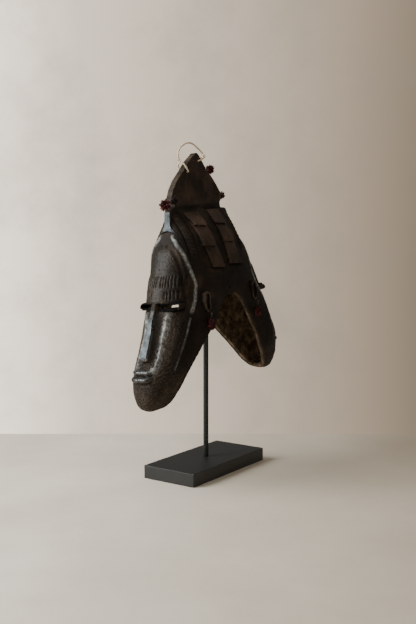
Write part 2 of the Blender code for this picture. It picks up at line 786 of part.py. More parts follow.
def make_felt_pad():
    """Felt disc glued on the cap. Its top follows the lean of the mask's ceiling, which rests on it."""
    bottom = POST_TOP + GAP - CAP_SOCKET + CAP_HEIGHT + GAP
    frame = mask_matrix()
    spot = frame @ Vector((0.0, 0.0, CEILING_STEPS[-1]))
    lean = frame.to_3x3() @ Vector((0.0, 0.0, 1.0))

    def below_ceiling(x, y):
        return spot.z - (lean.x * (x - spot.x) + lean.y * (y - spot.y)) / lean.z - GAP

    low = [(x, y, bottom) for x, y in circle(PAD_RADIUS, 32)]
    high = [(x, y, below_ceiling(x, y) - 1.0) for x, y in circle(PAD_RADIUS, 32)]
    top = [(x, y, below_ceiling(x, y)) for x, y in circle(PAD_RADIUS - 2.0, 32)]
    return mesh_object("felt_pad", skin([low, high, top]), felt(), smooth=40)


def main():
    clear_scene()
    make_base()
    make_post()
    swivel = empty("swivel_axis", (0.0, 0.0, 0.0))
    make_cap().parent = swivel
    make_felt_pad().parent = swivel
    mask = empty("mask_frame", MASK_PLACE, None, MASK_LEAN)
    make_helmet(mask)
    for label, side in SIDES:
        make_crest_plate(label, side, mask)
        make_nose_plate(label, side, mask)
    make_hanging_cord(mask)
    for name, hole, centre, radius in CREST_TASSELS:
        make_crest_tassel(name, hole, centre, radius, mask)
    for label, side, out in EAR_PLACES:
        for side_x in (-1, 1):
            make_ear_tassel(label, side_x, side, out, mask)


main()
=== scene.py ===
"""Looks of the two-faced carved mask on its stand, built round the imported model.

The wood is one mesh, made by contouring a field of distances in the mask's own frame: the plain shell, whose
tables are the design's, and then each carved detail added or cut. Lengths are millimetres in the mask's frame
until a piece is placed, and metres in the row frame after that.
"""

import math

import bpy
import numpy as np
from mathutils import Euler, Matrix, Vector


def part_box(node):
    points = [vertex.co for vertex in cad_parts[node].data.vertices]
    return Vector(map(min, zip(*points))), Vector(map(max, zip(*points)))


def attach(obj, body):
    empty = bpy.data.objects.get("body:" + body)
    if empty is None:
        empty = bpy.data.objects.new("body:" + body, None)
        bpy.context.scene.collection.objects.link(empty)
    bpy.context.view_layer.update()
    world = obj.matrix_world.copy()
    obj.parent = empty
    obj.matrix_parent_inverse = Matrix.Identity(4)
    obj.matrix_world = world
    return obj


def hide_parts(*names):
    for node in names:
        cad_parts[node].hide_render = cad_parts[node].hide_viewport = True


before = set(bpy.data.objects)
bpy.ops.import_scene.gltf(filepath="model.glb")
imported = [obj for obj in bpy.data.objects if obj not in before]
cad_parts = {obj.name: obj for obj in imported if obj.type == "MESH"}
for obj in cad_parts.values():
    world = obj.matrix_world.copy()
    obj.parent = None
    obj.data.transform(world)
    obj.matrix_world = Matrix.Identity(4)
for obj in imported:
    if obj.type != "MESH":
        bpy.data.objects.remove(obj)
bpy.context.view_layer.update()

MM = 0.001

# The mask's frame in the row frame
MASK_PLACE = (-1.0, -16.0, 450.0)
MASK_LEAN = (4.6, -2.6, 0.0)
TURN = np.array(Euler([math.radians(angle) for angle in MASK_LEAN]).to_matrix())


def placed(points):
    """Points in the mask's frame, in millimetres, as points in the row frame, in metres."""
    return (np.asarray(points, float) @ TURN.T + MASK_PLACE) * MM


# Camera, light and floor

CAMERA_PLACE = (0.9600, -1.3711, 0.4574)
CAMERA_AZIMUTH = math.radians(34.858)
CAMERA_PITCH = math.radians(5.048)
RIGHT = Vector((math.cos(CAMERA_AZIMUTH), math.sin(CAMERA_AZIMUTH), 0.0))
AHEAD = Vector((-math.sin(CAMERA_AZIMUTH), math.cos(CAMERA_AZIMUTH), 0.0))
UP = Vector((0.0, 0.0, 1.0))

FLOOR_BEHIND = 0.30
FLOOR_DEPTH = 3.5
FLOOR_HALF = 3.0
FLOOR_DROP = 0.0002
GLOW = 0.24
BACKDROP = (
    (0.36, (2.4, 2.1, 1.72)), (0.43, (1.20, 1.04, 0.84)), (0.50, (0.84, 0.71, 0.56)),
    (0.57, (0.54, 0.43, 0.32)), (0.63, (0.26, 0.20, 0.14)),
)


def make_camera():
    camera = bpy.data.objects.new("camera", bpy.data.cameras.new("camera"))
    camera.data.lens = 50.0
    camera.data.sensor_width = 36.0
    camera.location = CAMERA_PLACE
    camera.rotation_euler = (math.pi / 2 - CAMERA_PITCH, 0.0, CAMERA_AZIMUTH)
    bpy.context.scene.collection.objects.link(camera)
    bpy.context.scene.camera = camera


def make_light(name, place, aim, size, watts, colour):
    data = bpy.data.lights.new(name, "AREA")
    data.shape = "RECTANGLE"
    data.size, data.size_y = size
    data.energy = watts
    data.color = colour
    light = bpy.data.objects.new(name, data)
    light.location = place
    light.rotation_euler = (Vector(aim) - Vector(place)).to_track_quat("-Z", "Y").to_euler()
    bpy.context.scene.collection.objects.link(light)


def make_world():
    """Pale backdrop, lighter towards the window side, and a dimmer glow that lights the object."""
    world = bpy.data.worlds.new("studio")
    bpy.context.scene.world = world
    world.use_nodes = True
    tree = Tree(world.node_tree)
    output = tree.add("ShaderNodeOutputWorld")
    where = tree.add("ShaderNodeTexCoord").outputs["Generated"]
    shade = tree.ramp(tree.dot(where, RIGHT), BACKDROP, low=-1.0, high=1.0)
    patches = tree.noise(where, 6.0, detail=7.0, rough=0.65)
    mottled = tree.mix_colour(tree.clip(patches, 0.45, 1.1), shade, (0.36, 0.32, 0.26))
    height = tree.clip(tree.dot(where, UP), -0.40, -0.22)
    backdrop = tree.add("ShaderNodeBackground")
    tree.link(tree.mix_colour(height, (0.35, 0.32, 0.27), mottled), backdrop.inputs["Color"])
    glow = tree.add("ShaderNodeBackground")
    glow.inputs["Color"].default_value = (1.0, 0.95, 0.86, 1.0)
    glow.inputs["Strength"].default_value = GLOW
    chosen = tree.add("ShaderNodeMixShader")
    tree.link(tree.add("ShaderNodeLightPath").outputs["Is Camera Ray"], chosen.inputs[0])
    tree.link(glow.outputs[0], chosen.inputs[1])
    tree.link(backdrop.outputs[0], chosen.inputs[2])
    tree.link(chosen.outputs[0], output.inputs["Surface"])


def make_studio():
    make_world()
    middle = Vector((0.0, 0.0, 0.35))
    window = middle - RIGHT * 1.55 - AHEAD * 0.55 + UP * 0.75
    sky = middle - RIGHT * 0.7 - AHEAD * 0.3 + UP * 2.1
    room = middle + RIGHT * 1.6 - AHEAD * 2.0 + UP * 0.2
    make_light("window", window, middle, (1.0, 1.3), 56.0, (0.95, 0.98, 1.0))
    make_light("sky", sky, middle, (1.6, 1.6), 20.0, (1.0, 0.94, 0.86))
    make_light("room", room, middle, (1.5, 1.5), 8.0, (1.0, 0.92, 0.82))
    right = RIGHT * FLOOR_HALF
    back = AHEAD * FLOOR_BEHIND
    front = back - AHEAD * FLOOR_DEPTH
    mesh = bpy.data.meshes.new("floor")
    mesh.from_pydata([back - right, back + right, front + right, front - right], [], [(0, 1, 2, 3)])
    floor = bpy.data.objects.new("floor", mesh)
    floor.location.z = -FLOOR_DROP
    bpy.context.scene.collection.objects.link(floor)
    floor.data.materials.append(pale_floor())


# Material nodes


class Tree:
    """A node tree with short calls for the few kinds of node that the finishes use."""

    def __init__(self, tree):
        self.tree = tree
        tree.nodes.clear()

    def add(self, kind):
        return self.tree.nodes.new(kind)

    def link(self, source, target):
        if isinstance(source, (int, float)):
            target.default_value = source
        elif isinstance(source, tuple):
            target.default_value = (*source, 1.0)[: len(target.default_value)]
        else:
            self.tree.links.new(source, target)

    def math(self, operation, one, two=0.0, clamp=False):
        node = self.add("ShaderNodeMath")
        node.operation = operation
        node.use_clamp = clamp
        self.link(one, node.inputs[0])
        self.link(two, node.inputs[1])
        return node.outputs[0]

    def scale(self, value, factor):
        return self.math("MULTIPLY", value, factor, clamp=True)

    def mapped(self, value, **ends):
        node = self.add("ShaderNodeMapRange")
        self.link(value, node.inputs["Value"])
        for end, number in ends.items():
            node.inputs[end.replace("_", " ")].default_value = number
        return node.outputs[0]

    def clip(self, value, low, high):
        """0 at low to 1 at high, and no further."""
        return self.mapped(value, From_Min=low, From_Max=high)

    def between(self, value, low, high):
        """low at 0 to high at 1."""
        return self.mapped(value, To_Min=low, To_Max=high)

    def dot(self, vector, axis):
        node = self.add("ShaderNodeVectorMath")
        node.operation = "DOT_PRODUCT"
        self.link(vector, node.inputs[0])
        node.inputs[1].default_value = axis
        return node.outputs["Value"]

    def attribute(self, name):
        node = self.add("ShaderNodeAttribute")
        node.attribute_name = name
        return node.outputs["Fac"]

    def stretched(self, vector, factors):
        node = self.add("ShaderNodeMapping")
        self.link(vector, node.inputs["Vector"])
        node.inputs["Scale"].default_value = factors
        return node.outputs[0]

    def noise(self, vector, scale, detail=3.0, rough=0.55, twist=0.0):
        node = self.add("ShaderNodeTexNoise")
        self.link(vector, node.inputs["Vector"])
        node.inputs["Scale"].default_value = scale
        node.inputs["Detail"].default_value = detail
        node.inputs["Roughness"].default_value = rough
        node.inputs["Distortion"].default_value = twist
        return node.outputs["Fac"]

    def cells(self, vector, scale):
        node = self.add("ShaderNodeTexVoronoi")
        self.link(vector, node.inputs["Vector"])
        node.inputs["Scale"].default_value = scale
        return node.outputs["Distance"]

    def mix_colour(self, share, one, two):
        node = self.add("ShaderNodeMix")
        node.data_type = "RGBA"
        self.link(share, node.inputs["Factor"])
        self.link(one, node.inputs["A"])
        self.link(two, node.inputs["B"])
        return node.outputs["Result"]

    def ramp(self, value, stops, low=0.0, high=1.0):
        node = self.add("ShaderNodeValToRGB")
        self.link(self.clip(value, low, high), node.inputs[0])
        points = node.color_ramp.elements
        while len(points) < len(stops):
            points.new(0.5)
        for point, (place, colour) in zip(points, stops):
            point.position = place
            point.color = (*colour, 1.0)
        return node.outputs["Color"]

    def bump(self, heights, distance, strength=1.0, after=None):
        node = self.add("ShaderNodeBump")
        self.link(heights, node.inputs["Height"])
        node.inputs["Distance"].default_value = distance
        node.inputs["Strength"].default_value = strength
        if after is not None:
            self.link(after, node.inputs["Normal"])
        return node.outputs[0]


def finish(name, build, **sockets):
    """Principled material. build(tree, place) gives its linked sockets, and sockets are constant values."""
    made = bpy.data.materials.get(name)
    if made:
        return made
    made = bpy.data.materials.new(name)
    made.use_nodes = True
    tree = Tree(made.node_tree)
    output = tree.add("ShaderNodeOutputMaterial")
    shader = tree.add("ShaderNodeBsdfPrincipled")
    tree.link(shader.outputs[0], output.inputs["Surface"])
    for socket, value in sockets.items():
        shader.inputs[socket.replace("_", " ")].default_value = value
    place = tree.add("ShaderNodeTexCoord").outputs["Object"]
    for socket, source in zip(("Base Color", "Roughness", "Normal", "Coat Weight"), build(tree, place)):
        tree.link(source, shader.inputs[socket])
    return made


def pale_floor():
    def build(tree, place):
        patches = tree.noise(place, 3.5, detail=7.0, rough=0.6)
        clean = tree.ramp(patches, ((0.3, (0.74, 0.65, 0.53)), (0.7, (0.92, 0.83, 0.70))))
        # Painted shade: the floor is painted darker towards the right, where the window's light falls off.
        across = tree.clip(tree.dot(place, RIGHT), -0.25, 0.75)
        hue = tree.mix_colour(across, clean, (0.40, 0.32, 0.22))
        gloss = tree.between(tree.noise(place, 9.0), 0.45, 0.7)
        return hue, gloss, tree.bump(tree.noise(place, 40.0, detail=6.0), 0.0012, 0.4)

    return finish("pale_floor", build)


# The wood's zones, each a vertex attribute from 0 to 1, and its tones, as stops along a noise

ZONES = ("worn", "deep", "raw", "polish", "pitted", "pale", "shingle")
DARK_WOOD = (
    (0.34, (0.0070, 0.0044, 0.0024)), (0.52, (0.020, 0.0125, 0.0072)), (0.68, (0.054, 0.033, 0.0195)),
)
SHINGLE_WOOD = ((0.35, (0.032, 0.020, 0.0135)), (0.65, (0.105, 0.066, 0.046)))
OILED_WOOD = ((0.38, (0.005, 0.0040, 0.0028)), (0.62, (0.020, 0.016, 0.0115)))
RUBBED_AND_SHEEN_WOOD = ((0.36, (0.090, 0.089, 0.082)), (0.6, (0.34, 0.345, 0.33)))
EDGE_WOOD = ((0.4, (0.040, 0.027, 0.018)), (0.62, (0.13, 0.096, 0.068)))
BARE_WOOD = ((0.36, (0.032, 0.022, 0.013)), (0.5, (0.105, 0.075, 0.046)), (0.66, (0.26, 0.19, 0.125)))


def carved_wood():
    """Dark oiled wood: grey and glossy where handled, the grey partly painted sheen, brown on worn edges, and
    dull, with painted shade near black, in folds and hollows.
    """

    def build(tree, place):
        worn, deep, raw, polish, pitted, pale, shingle = (tree.attribute(zone) for zone in ZONES)
        broad = tree.noise(place, 24.0, detail=5.0, rough=0.6)
        fine = tree.noise(place, 300.0, detail=5.0, rough=0.7)
        grain = tree.noise(tree.stretched(place, (1.0, 1.0, 0.16)), 560.0, detail=3.0, twist=0.3)
        hatch = tree.cells(tree.stretched(place, (1.0, 0.6, 1.5)), 330.0)
        body = tree.mix_colour(tree.scale(grain, 0.5), tree.ramp(broad, DARK_WOOD), (0.004, 0.0025, 0.0015))
        body = tree.mix_colour(tree.scale(shingle, 0.85), body, tree.ramp(broad, SHINGLE_WOOD))
        dashes = tree.math("MULTIPLY", pitted, tree.clip(hatch, 0.44, 0.66), clamp=True)
        body = tree.mix_colour(tree.scale(dashes, 0.75), body, (0.046, 0.036, 0.025))
        body = tree.mix_colour(polish, body, tree.ramp(fine, OILED_WOOD))
        # Rubbed wear and painted sheen: the pale lines go towards a light grey, broken into patches.
        chips = tree.clip(tree.noise(place, 95.0, detail=6.0, rough=0.7), 0.40, 0.60)
        pale = tree.math("MULTIPLY", pale, tree.between(chips, 0.22, 1.0))
        body = tree.mix_colour(pale, body, tree.ramp(fine, RUBBED_AND_SHEEN_WOOD))
        patches = tree.clip(tree.noise(place, 70.0, detail=5.0), 0.34, 0.60)
        patchy = tree.math("MULTIPLY", worn, patches, clamp=True)
        body = tree.mix_colour(patchy, body, tree.ramp(fine, EDGE_WOOD))
        # Painted shade: the deep zone (folds, hollows, the eye recess, under the shingles) goes near black.
        body = tree.mix_colour(deep, body, (0.0022, 0.0015, 0.001))
        bare = tree.ramp(tree.noise(place, 75.0, detail=6.0, rough=0.7), BARE_WOOD)
        bare = tree.mix_colour(tree.scale(grain, 0.45), bare, (0.035, 0.021, 0.010))
        # Painted shade in the bare inner wood's folds and hollows as well.
        bare = tree.mix_colour(tree.scale(deep, 0.5), bare, (0.018, 0.012, 0.006))
        gloss = tree.between(tree.math("MAXIMUM", polish, pale), 0.60, 0.30)
        gloss = tree.math("ADD", gloss, tree.between(fine, -0.14, 0.16))
        gloss = tree.math("ADD", gloss, tree.scale(tree.math("MAXIMUM", raw, deep), 0.34))
        handled = tree.math("ADD", tree.scale(tree.clip(polish, 0.35, 0.9), 0.75), tree.scale(pale, 0.8))
        oil = tree.math("MULTIPLY", handled, tree.clip(fine, 0.34, 0.56), clamp=True)
        normal = tree.bump(tree.math("MULTIPLY", hatch, tree.between(pitted, 0.16, 1.0)), 0.0020, 0.8)
        normal = tree.bump(grain, 0.0005, 0.5, normal)
        normal = tree.bump(tree.noise(place, 120.0, detail=3.0), 0.0022, 0.6, normal)
        normal = tree.bump(fine, 0.0012, 0.8, normal)
        return tree.mix_colour(raw, body, bare), gloss, normal, oil

    return finish("carved_wood_finish", build, Specular_IOR_Level=0.17, Coat_Roughness=0.20)


def grey_sheet():
    """Thin dull sheet metal, burnished by hand, with tarnish in patches."""

    def build(tree, place):
        tarnish = tree.noise(place, 90.0, detail=5.0, rough=0.65)
        brushed = tree.noise(tree.stretched(place, (1.0, 1.0, 0.08)), 900.0)
        hue = tree.ramp(tarnish, ((0.35, (0.022, 0.026, 0.027)), (0.62, (0.070, 0.081, 0.085))))
        gloss = tree.math("ADD", tree.between(tarnish, 0.62, 0.36), tree.between(brushed, -0.06, 0.06))
        dents = tree.bump(tree.noise(place, 130.0, detail=2.0), 0.0012, 0.45)
        return hue, gloss, tree.bump(brushed, 0.0002, 0.4, dents)

    return finish("grey_sheet_finish", build, Metallic=0.7)


def black_steel():
    def build(tree, place):
        speckle = tree.noise(place, 500.0, detail=4.0)
        hue = tree.ramp(speckle, ((0.35, (0.006, 0.0066, 0.005)), (0.65, (0.013, 0.014, 0.011))))
        gloss = tree.between(speckle, 0.34, 0.5)
        return hue, gloss, tree.bump(tree.noise(place, 1400.0), 0.00015, 0.35)

    return finish("black_steel_finish", build, Metallic=0.3)


def painted_wood():
    """Satin black paint over a board, dusty in patches, with the grain just showing."""

    def build(tree, place):
        grain = tree.noise(tree.stretched(place, (1.0, 0.07, 1.0)), 260.0, detail=4.0, twist=0.4)
        dust = tree.noise(place, 34.0, detail=6.0, rough=0.65)
        paint = tree.ramp(dust, ((0.35, (0.0065, 0.0072, 0.0070)), (0.7, (0.018, 0.0165, 0.014))))
        hue = tree.mix_colour(tree.scale(grain, 0.35), paint, (0.008, 0.008, 0.008))
        return hue, tree.between(dust, 0.38, 0.62), tree.bump(grain, 0.0004, 0.4)

    return finish("painted_wood_finish", build)


def felt_cloth():
    def build(tree, place):
        fuzz = tree.noise(place, 1600.0, detail=4.0, rough=0.8)
        hue = tree.ramp(fuzz, ((0.3, (0.02, 0.02, 0.02)), (0.7, (0.07, 0.07, 0.07))))
        return hue, tree.between(fuzz, 0.9, 1.0), tree.bump(fuzz, 0.0006, 0.8)

    return finish("felt_finish", build, Sheen_Weight=0.4)


WOOL_TONES = (
    (0.0, (0.005, 0.002, 0.002)), (0.4, (0.045, 0.0055, 0.006)), (0.75, (0.13, 0.014, 0.016)),
    (1.0, (0.26, 0.045, 0.045)),
)


def wool():
    """Dark red wool, with each strand's own tone."""

    def build(tree, place):
        fuzz = tree.noise(place, 2200.0, detail=3.0)
        hue = tree.ramp(tree.attribute("tone"), WOOL_TONES)
        hue = tree.mix_colour(tree.scale(fuzz, 0.5), hue, (0.006, 0.0015, 0.0015))
        return hue, tree.between(fuzz, 0.8, 1.0), tree.bump(fuzz, 0.0003, 0.6)

    return finish("wool_finish", build, Sheen_Weight=0.08, Specular_IOR_Level=0.2)


def fibre(name, dark, pale):
    """Dry plant fibre, streaked along its length."""

    def build(tree, place):
        streak = tree.noise(place, 900.0, detail=4.0, rough=0.7)
        patch = tree.clip(tree.noise(place, 120.0, detail=2.0), 0.5, 0.8)
        hue = tree.mix_colour(patch, tree.mix_colour(streak, dark, pale), dark)
        return hue, tree.between(streak, 0.7, 0.95), tree.bump(streak, 0.0003, 0.7)

    return finish(name, build, Sheen_Weight=0.15)


def pale_fibre():
    return fibre("pale_fibre_finish", (0.52, 0.40, 0.24), (0.92, 0.80, 0.58))


def brown_fibre():
    return fibre("brown_fibre_finish", (0.03, 0.015, 0.008), (0.15, 0.09, 0.05))


# Cords

CORD_RADIUS = 1.4
TIE_RADIUS = 0.8
FRAYED_CORD = 1.35
FRAYED_LASHING = 1.3
PIECE_GAP = 0.3
CORD_ROUTE = [
    (-48.6, 153.0), (-49.2, 157.0), (-48.0, 164.0), (-43.0, 171.0), (-33.0, 177.0), (-20.0, 181.0),
    (-7.0, 181.5), (6.0, 177.0), (18.0, 170.0), (27.0, 164.0), (31.0, 160.5),
]
NEAR_KNOT = (0.0, -47.5, 150.0)
FAR_KNOT = (0.0, 33.5, 156.5)


def smooth_route(points, spacing, closed=False):
    """Points at even spacing along a Catmull-Rom curve through the given ones."""
    points = np.asarray(points, float)
    if closed:
        ends = np.concatenate([points[-1:], points, points[:2]])
    else:
        ends = np.concatenate([[points[0] * 2 - points[1]], points, [points[-1] * 2 - points[-2]]])
    t = np.linspace(0.0, 1.0, 24, endpoint=False)[:, None]
    dense = []
    for a, b, c, d in zip(ends, ends[1:], ends[2:], ends[3:]):
        square = (2 * a - 5 * b + 4 * c - d) * t**2
        cube = (3 * b - a - 3 * c + d) * t**3
        dense.append(0.5 * (2 * b + (c - a) * t + square + cube))
    dense = np.concatenate([*dense, ends[-2:-1] if not closed else points[:1]])
    walked = np.concatenate([[0.0], np.cumsum(np.linalg.norm(np.diff(dense, axis=0), axis=1))])
    even = np.linspace(0.0, walked[-1], max(round(walked[-1] / spacing), 3) + 1)
    return np.stack([np.interp(even, walked, dense[:, axis]) for axis in range(3)], axis=1)


def frames_along(path):
    """Two unit vectors square to the path at each point, carried along without twisting."""
    ahead = np.gradient(path, axis=0)
    ahead /= np.linalg.norm(ahead, axis=1)[:, None]
    start = np.cross(ahead[0], (0.31, 0.2, 0.93))
    side = start / np.linalg.norm(start)
    sides = []
    for direction in ahead:
        side = side - direction * (side @ direction)
        side /= np.linalg.norm(side)
        sides.append(side)
    sides = np.array(sides)
    return sides, np.cross(ahead, sides)


def tube_parts(path, radii, sides=6):
    """Vertices and faces of a capped tube along path."""
    one, two = frames_along(path)
    turn = 2 * np.pi * np.arange(sides) / sides
    ring = one[:, None] * np.cos(turn)[None, :, None] + two[:, None] * np.sin(turn)[None, :, None]
    points = path[:, None] + ring * np.broadcast_to(radii, len(path))[:, None, None]
    faces = []
    for step in range(len(path) - 1):
        for index in range(sides):
            after = (index + 1) % sides
            here, there = step * sides, (step + 1) * sides
            faces.append((here + index, here + after, there + after, there + index))
    faces.append(tuple(range(sides))[::-1])
    faces.append(tuple(range((len(path) - 1) * sides, len(path) * sides)))
    return points.reshape(-1, 3), faces


def object_of(name, parts, material, tones=None):
    """One mesh object from (points, faces) parts, whose points are in the row frame in metres."""
    points, faces, tone = [], [], []
    count = 0
    for index, (some, those) in enumerate(parts):
        points.append(some)
        faces += [tuple(corner + count for corner in face) for face in those]
        count += len(some)
        if tones is not None:
            tone.append(np.full(len(some), tones[index]))
    mesh = bpy.data.meshes.new(name)
    mesh.from_pydata(np.concatenate(points).tolist(), [], faces)
    mesh.materials.append(material)
    mesh.shade_smooth()
    if tones is not None:
        layer = mesh.attributes.new("tone", "FLOAT", "POINT")
        layer.data.foreach_set("value", np.concatenate(tone).astype(np.float32))
    made = bpy.data.objects.new(name, mesh)
    bpy.context.scene.collection.objects.link(made)
    return made


def twisted(path, radius, plies=3, pitch=9.0, seed=0, spread=0.40):
    """Tubes of the plies of a twisted cord of that outer radius, in the mask's frame."""
    noise = np.random.default_rng(seed)
    one, two = frames_along(path)
    walked = np.concatenate([[0.0], np.cumsum(np.linalg.norm(np.diff(path, axis=0), axis=1))])
    parts = []
    for ply in range(plies):
        wander = noise.normal(0.0, 0.12, len(path)).cumsum() * 0.25
        angle = 2 * np.pi * (walked / pitch + ply / plies) + wander
        off = radius * spread
        line = path + off * (one * np.cos(angle)[:, None] + two * np.sin(angle)[:, None])
        own = radius * (1 - spread) * (1.0 + 0.07 * noise.normal(size=len(path)))
        points, faces = tube_parts(line, own, 6)
        parts.append((placed(points), faces))
    return parts


def carry(made, slot, body, *nodes):
    """Hide the nodes that the piece stands for and hang the piece on the body's empty. slot is not used."""
    if nodes:
        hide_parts(*nodes)
    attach(made, body)


def knot_line(centre, radius):
    """Closed trefoil round centre, as a loose overhand knot lies."""
    around = np.linspace(0.0, 2 * np.pi, 60)
    ring = 0.55 + 0.3 * np.cos(3 * around)
    line = [ring * np.cos(2 * around), ring * np.sin(2 * around), 0.62 * np.sin(3 * around)]
    return np.array(centre) + np.stack(line, axis=1) * radius


def make_hanging_cord():
    path = smooth_route([(0.0, y, z) for y, z in CORD_ROUTE], 1.5)
    parts = twisted(path, CORD_RADIUS * FRAYED_CORD, 2, 9.0, 1, 0.26)
    cord = object_of("hanging_cord_fibre", parts, pale_fibre())
    carry(cord, "pale_fibre", "hanging_loop", "hanging_cord")
    knots = []
    for name, centre, radius, seed in (("near", NEAR_KNOT, 2.3, 2), ("far", FAR_KNOT, 3.3, 3)):
        parts = twisted(knot_line(centre, radius), radius * 0.40, 2, 5.0, seed)
        knots.append(object_of(f"{name}_cord_knot_fibre", parts, pale_fibre()))
        carry(knots[-1], "pale_fibre", "hanging_loop", f"{name}_cord_knot")


make_camera()
make_hanging_cord()
make_studio()


# The helmet's tables, as the design has them

HALF_WIDTH = [
    (62, 12), (50, 19), (40, 27), (25, 37), (5, 46), (-20, 51), (-50, 55), (-90, 60), (-120, 63),
    (-140, 62.5), (-160, 59.5), (-180, 55.5), (-200, 50.5), (-220, 44.5), (-240, 38.5), (-260, 32),
    (-275, 25.5), (-284, 18), (-290, 8),
]
NEAR_REACH = [
    (62, 94), (50, 96), (33, 98), (12, 107), (-13, 120), (-40, 132), (-66, 142), (-92, 151),
    (-118, 159), (-150, 169), (-186, 187), (-222, 209), (-246, 219), (-268, 220), (-280, 215),
    (-290, 203),
]
FAR_REACH = [
    (62, 84), (50, 88), (25, 88), (5, 89), (-10, 99), (-38, 120), (-70, 140), (-98, 156),
    (-126, 169), (-164, 190), (-203, 208), (-240, 216), (-262, 210), (-276, 202), (-290, 190),
]
WIDEST_AT = [
    (62, 4), (-40, 5), (-80, 15), (-105, 30), (-120, 44), (-140, 66), (-160, 83), (-180, 101),
    (-200, 118), (-220, 134), (-240, 148), (-260, 160), (-275, 168), (-290, 176),
]
SQUARENESS = [
    (62, 2.2), (25, 2.7), (0, 3.0), (-40, 2.7), (-100, 2.2), (-180, 2.2), (-220, 2.6), (-290, 2.6),
]
ARCH = [
    (0, -105), (18, -106), (28, -111.5), (37, -120), (53, -140), (69, -160), (87, -180), (105, -200),
    (121, -220), (136, -240), (150, -260), (163, -275), (176, -287), (196, -303), (240, -335),
]
CREST = [
    (-60, 30), (-99.8, 30), (-98.5, 44), (-97, 57), (-91, 63), (-80, 65), (-80, 72), (-90, 76), (-88, 83),
    (-81, 97), (-67, 114), (-43, 132), (-27, 147), (-12, 156), (-1, 162.5), (3, 163), (8, 159), (16, 149),
    (28, 134), (48, 115), (60, 101), (72, 85), (74, 76), (66, 68), (66, 57), (84, 54), (90, 44), (91, 30),
    (60, 30),
]
CREST_HALF = 6.5
HELMET_TOP = 60.0
LEG_BOTTOM = -290.0
CEILING = -3.0
WALL = 11.0
CHIN_WALL = 12.0
FAR_DROP = 4.0
CARVED_DEPTH = 11.0
FACE_SHIFT = -3.0
EYE_HEIGHT = -109.0
NEAR_CORD_HOLE = (-33.0, 128.0)
FAR_CORD_HOLE = (5.0, 148.0)
CORD_HOLE_RADIUS = 2.6
TIE_HOLE_RADIUS = 1.7
WALL_HOLE_RADIUS = 2.0
# Each ball's name, its hole in the crest, its centre and its radius
CREST_TASSELS = (
    ("near_crest", (-80.0, 85.0), (4.0, -107.0, 70.0), 10.0),
    ("upper_far_crest", (21.0, 129.0), (3.0, 46.0, 131.0), 9.5),
    ("lower_far_crest", (62.0, 84.0), (-3.0, 86.0, 80.0), 7.5),
)
STEP = 1.5
TRIANGLES = 190_000
GRID_LOW = (-78.0, -236.0, -298.0)
GRID_HIGH = (78.0, 236.0, 170.0)


def along(table, at):
    """Value of a (height, value) table, smooth between its points."""
    heights, values = np.array(sorted(table), float).T
    slopes = np.empty_like(values)
    slopes[1:-1] = (values[2:] - values[:-2]) / (heights[2:] - heights[:-2])
    slopes[0] = (values[1] - values[0]) / (heights[1] - heights[0])
    slopes[-1] = (values[-1] - values[-2]) / (heights[-1] - heights[-2])
    at = np.clip(at, heights[0], heights[-1])
    index = np.clip(np.searchsorted(heights, at) - 1, 0, len(heights) - 2)
    step = heights[index + 1] - heights[index]
    t = (at - heights[index]) / step
    return (
        (2 * t**3 - 3 * t**2 + 1) * values[index]
        + (t**3 - 2 * t**2 + t) * step * slopes[index]
        + (3 * t**2 - 2 * t**3) * values[index + 1]
        + (t**3 - t**2) * step * slopes[index + 1]
    )


def either(one, two, blend):
    """Union of two distances, with a fillet."""
    share = np.clip(0.5 + 0.5 * (two - one) / blend, 0, 1)
    return two + (one - two) * share - blend * share * (1 - share)


def both(one, two, blend):
    """Overlap of two distances, with a rounded edge."""
    return -either(-one, -two, blend)


def smooth(value):
    value = np.clip(value, 0.0, 1.0)
    return value * value * (3 - 2 * value)


def above(value, start, soft):
    """0 up to start, then rising to 1 over soft."""
    return smooth((value - start) / soft)


def below(value, end, soft):
    """0 from end on, and rising to 1 over soft before it."""
    return smooth((end - value) / soft)


def outline_distance(outline, u, v):
    """Signed distance to a closed outline, negative inside."""
    nearest = np.full(np.broadcast(u, v).shape, 1e9, np.float32)
    inside = np.zeros(nearest.shape, bool)
    for (u0, v0), (u1, v1) in zip(outline, outline[1:] + outline[:1]):
        run_u, run_v = u1 - u0, v1 - v0
        share = np.clip(((u - u0) * run_u + (v - v0) * run_v) / (run_u**2 + run_v**2), 0, 1)
        nearest = np.minimum(nearest, (u - u0 - share * run_u) ** 2 + (v - v0 - share * run_v) ** 2)
        crosses = (v0 > v) != (v1 > v)
        with np.errstate(divide="ignore", invalid="ignore"):
            inside ^= crosses & (u < (u1 - u0) * (v - v0) / (v1 - v0 if v1 != v0 else 1e-9) + u0)
    return np.where(inside, -1.0, 1.0) * np.sqrt(nearest)


def route_distance(route, points):
    """Distance of each point to a line through the route's points, in as many dimensions as they have."""
    route = np.asarray(route, np.float32)
    nearest = np.full(len(points), 1e9, np.float32)
    for start, end in zip(route, route[1:]):
        run = end - start
        share = np.clip((points - start) @ run / (run @ run), 0, 1)
        nearest = np.minimum(nearest, ((points - start - share[:, None] * run) ** 2).sum(1))
    return np.sqrt(nearest)


def lattice_noise(points, cell, seed):
    """Smooth noise from -1 to 1, with a feature about every cell millimetres. cell may differ by axis."""
    size = 97
    table = np.random.default_rng(seed).uniform(-1, 1, size**3).astype(np.float32)
    where = points / np.asarray(cell, np.float32) + 1000.0
    base = np.floor(where).astype(np.int64)
    share = smooth(where - base).astype(np.float32)
    total = np.zeros(len(points), np.float32)
    for corner in range(8):
        step = np.array([corner & 1, corner >> 1 & 1, corner >> 2 & 1])
        at = (base + step) % size
        weight = np.prod(np.where(step == 1, share, 1 - share), axis=1)
        total += weight * table[(at[:, 0] * size + at[:, 1]) * size + at[:, 2]]
    return total


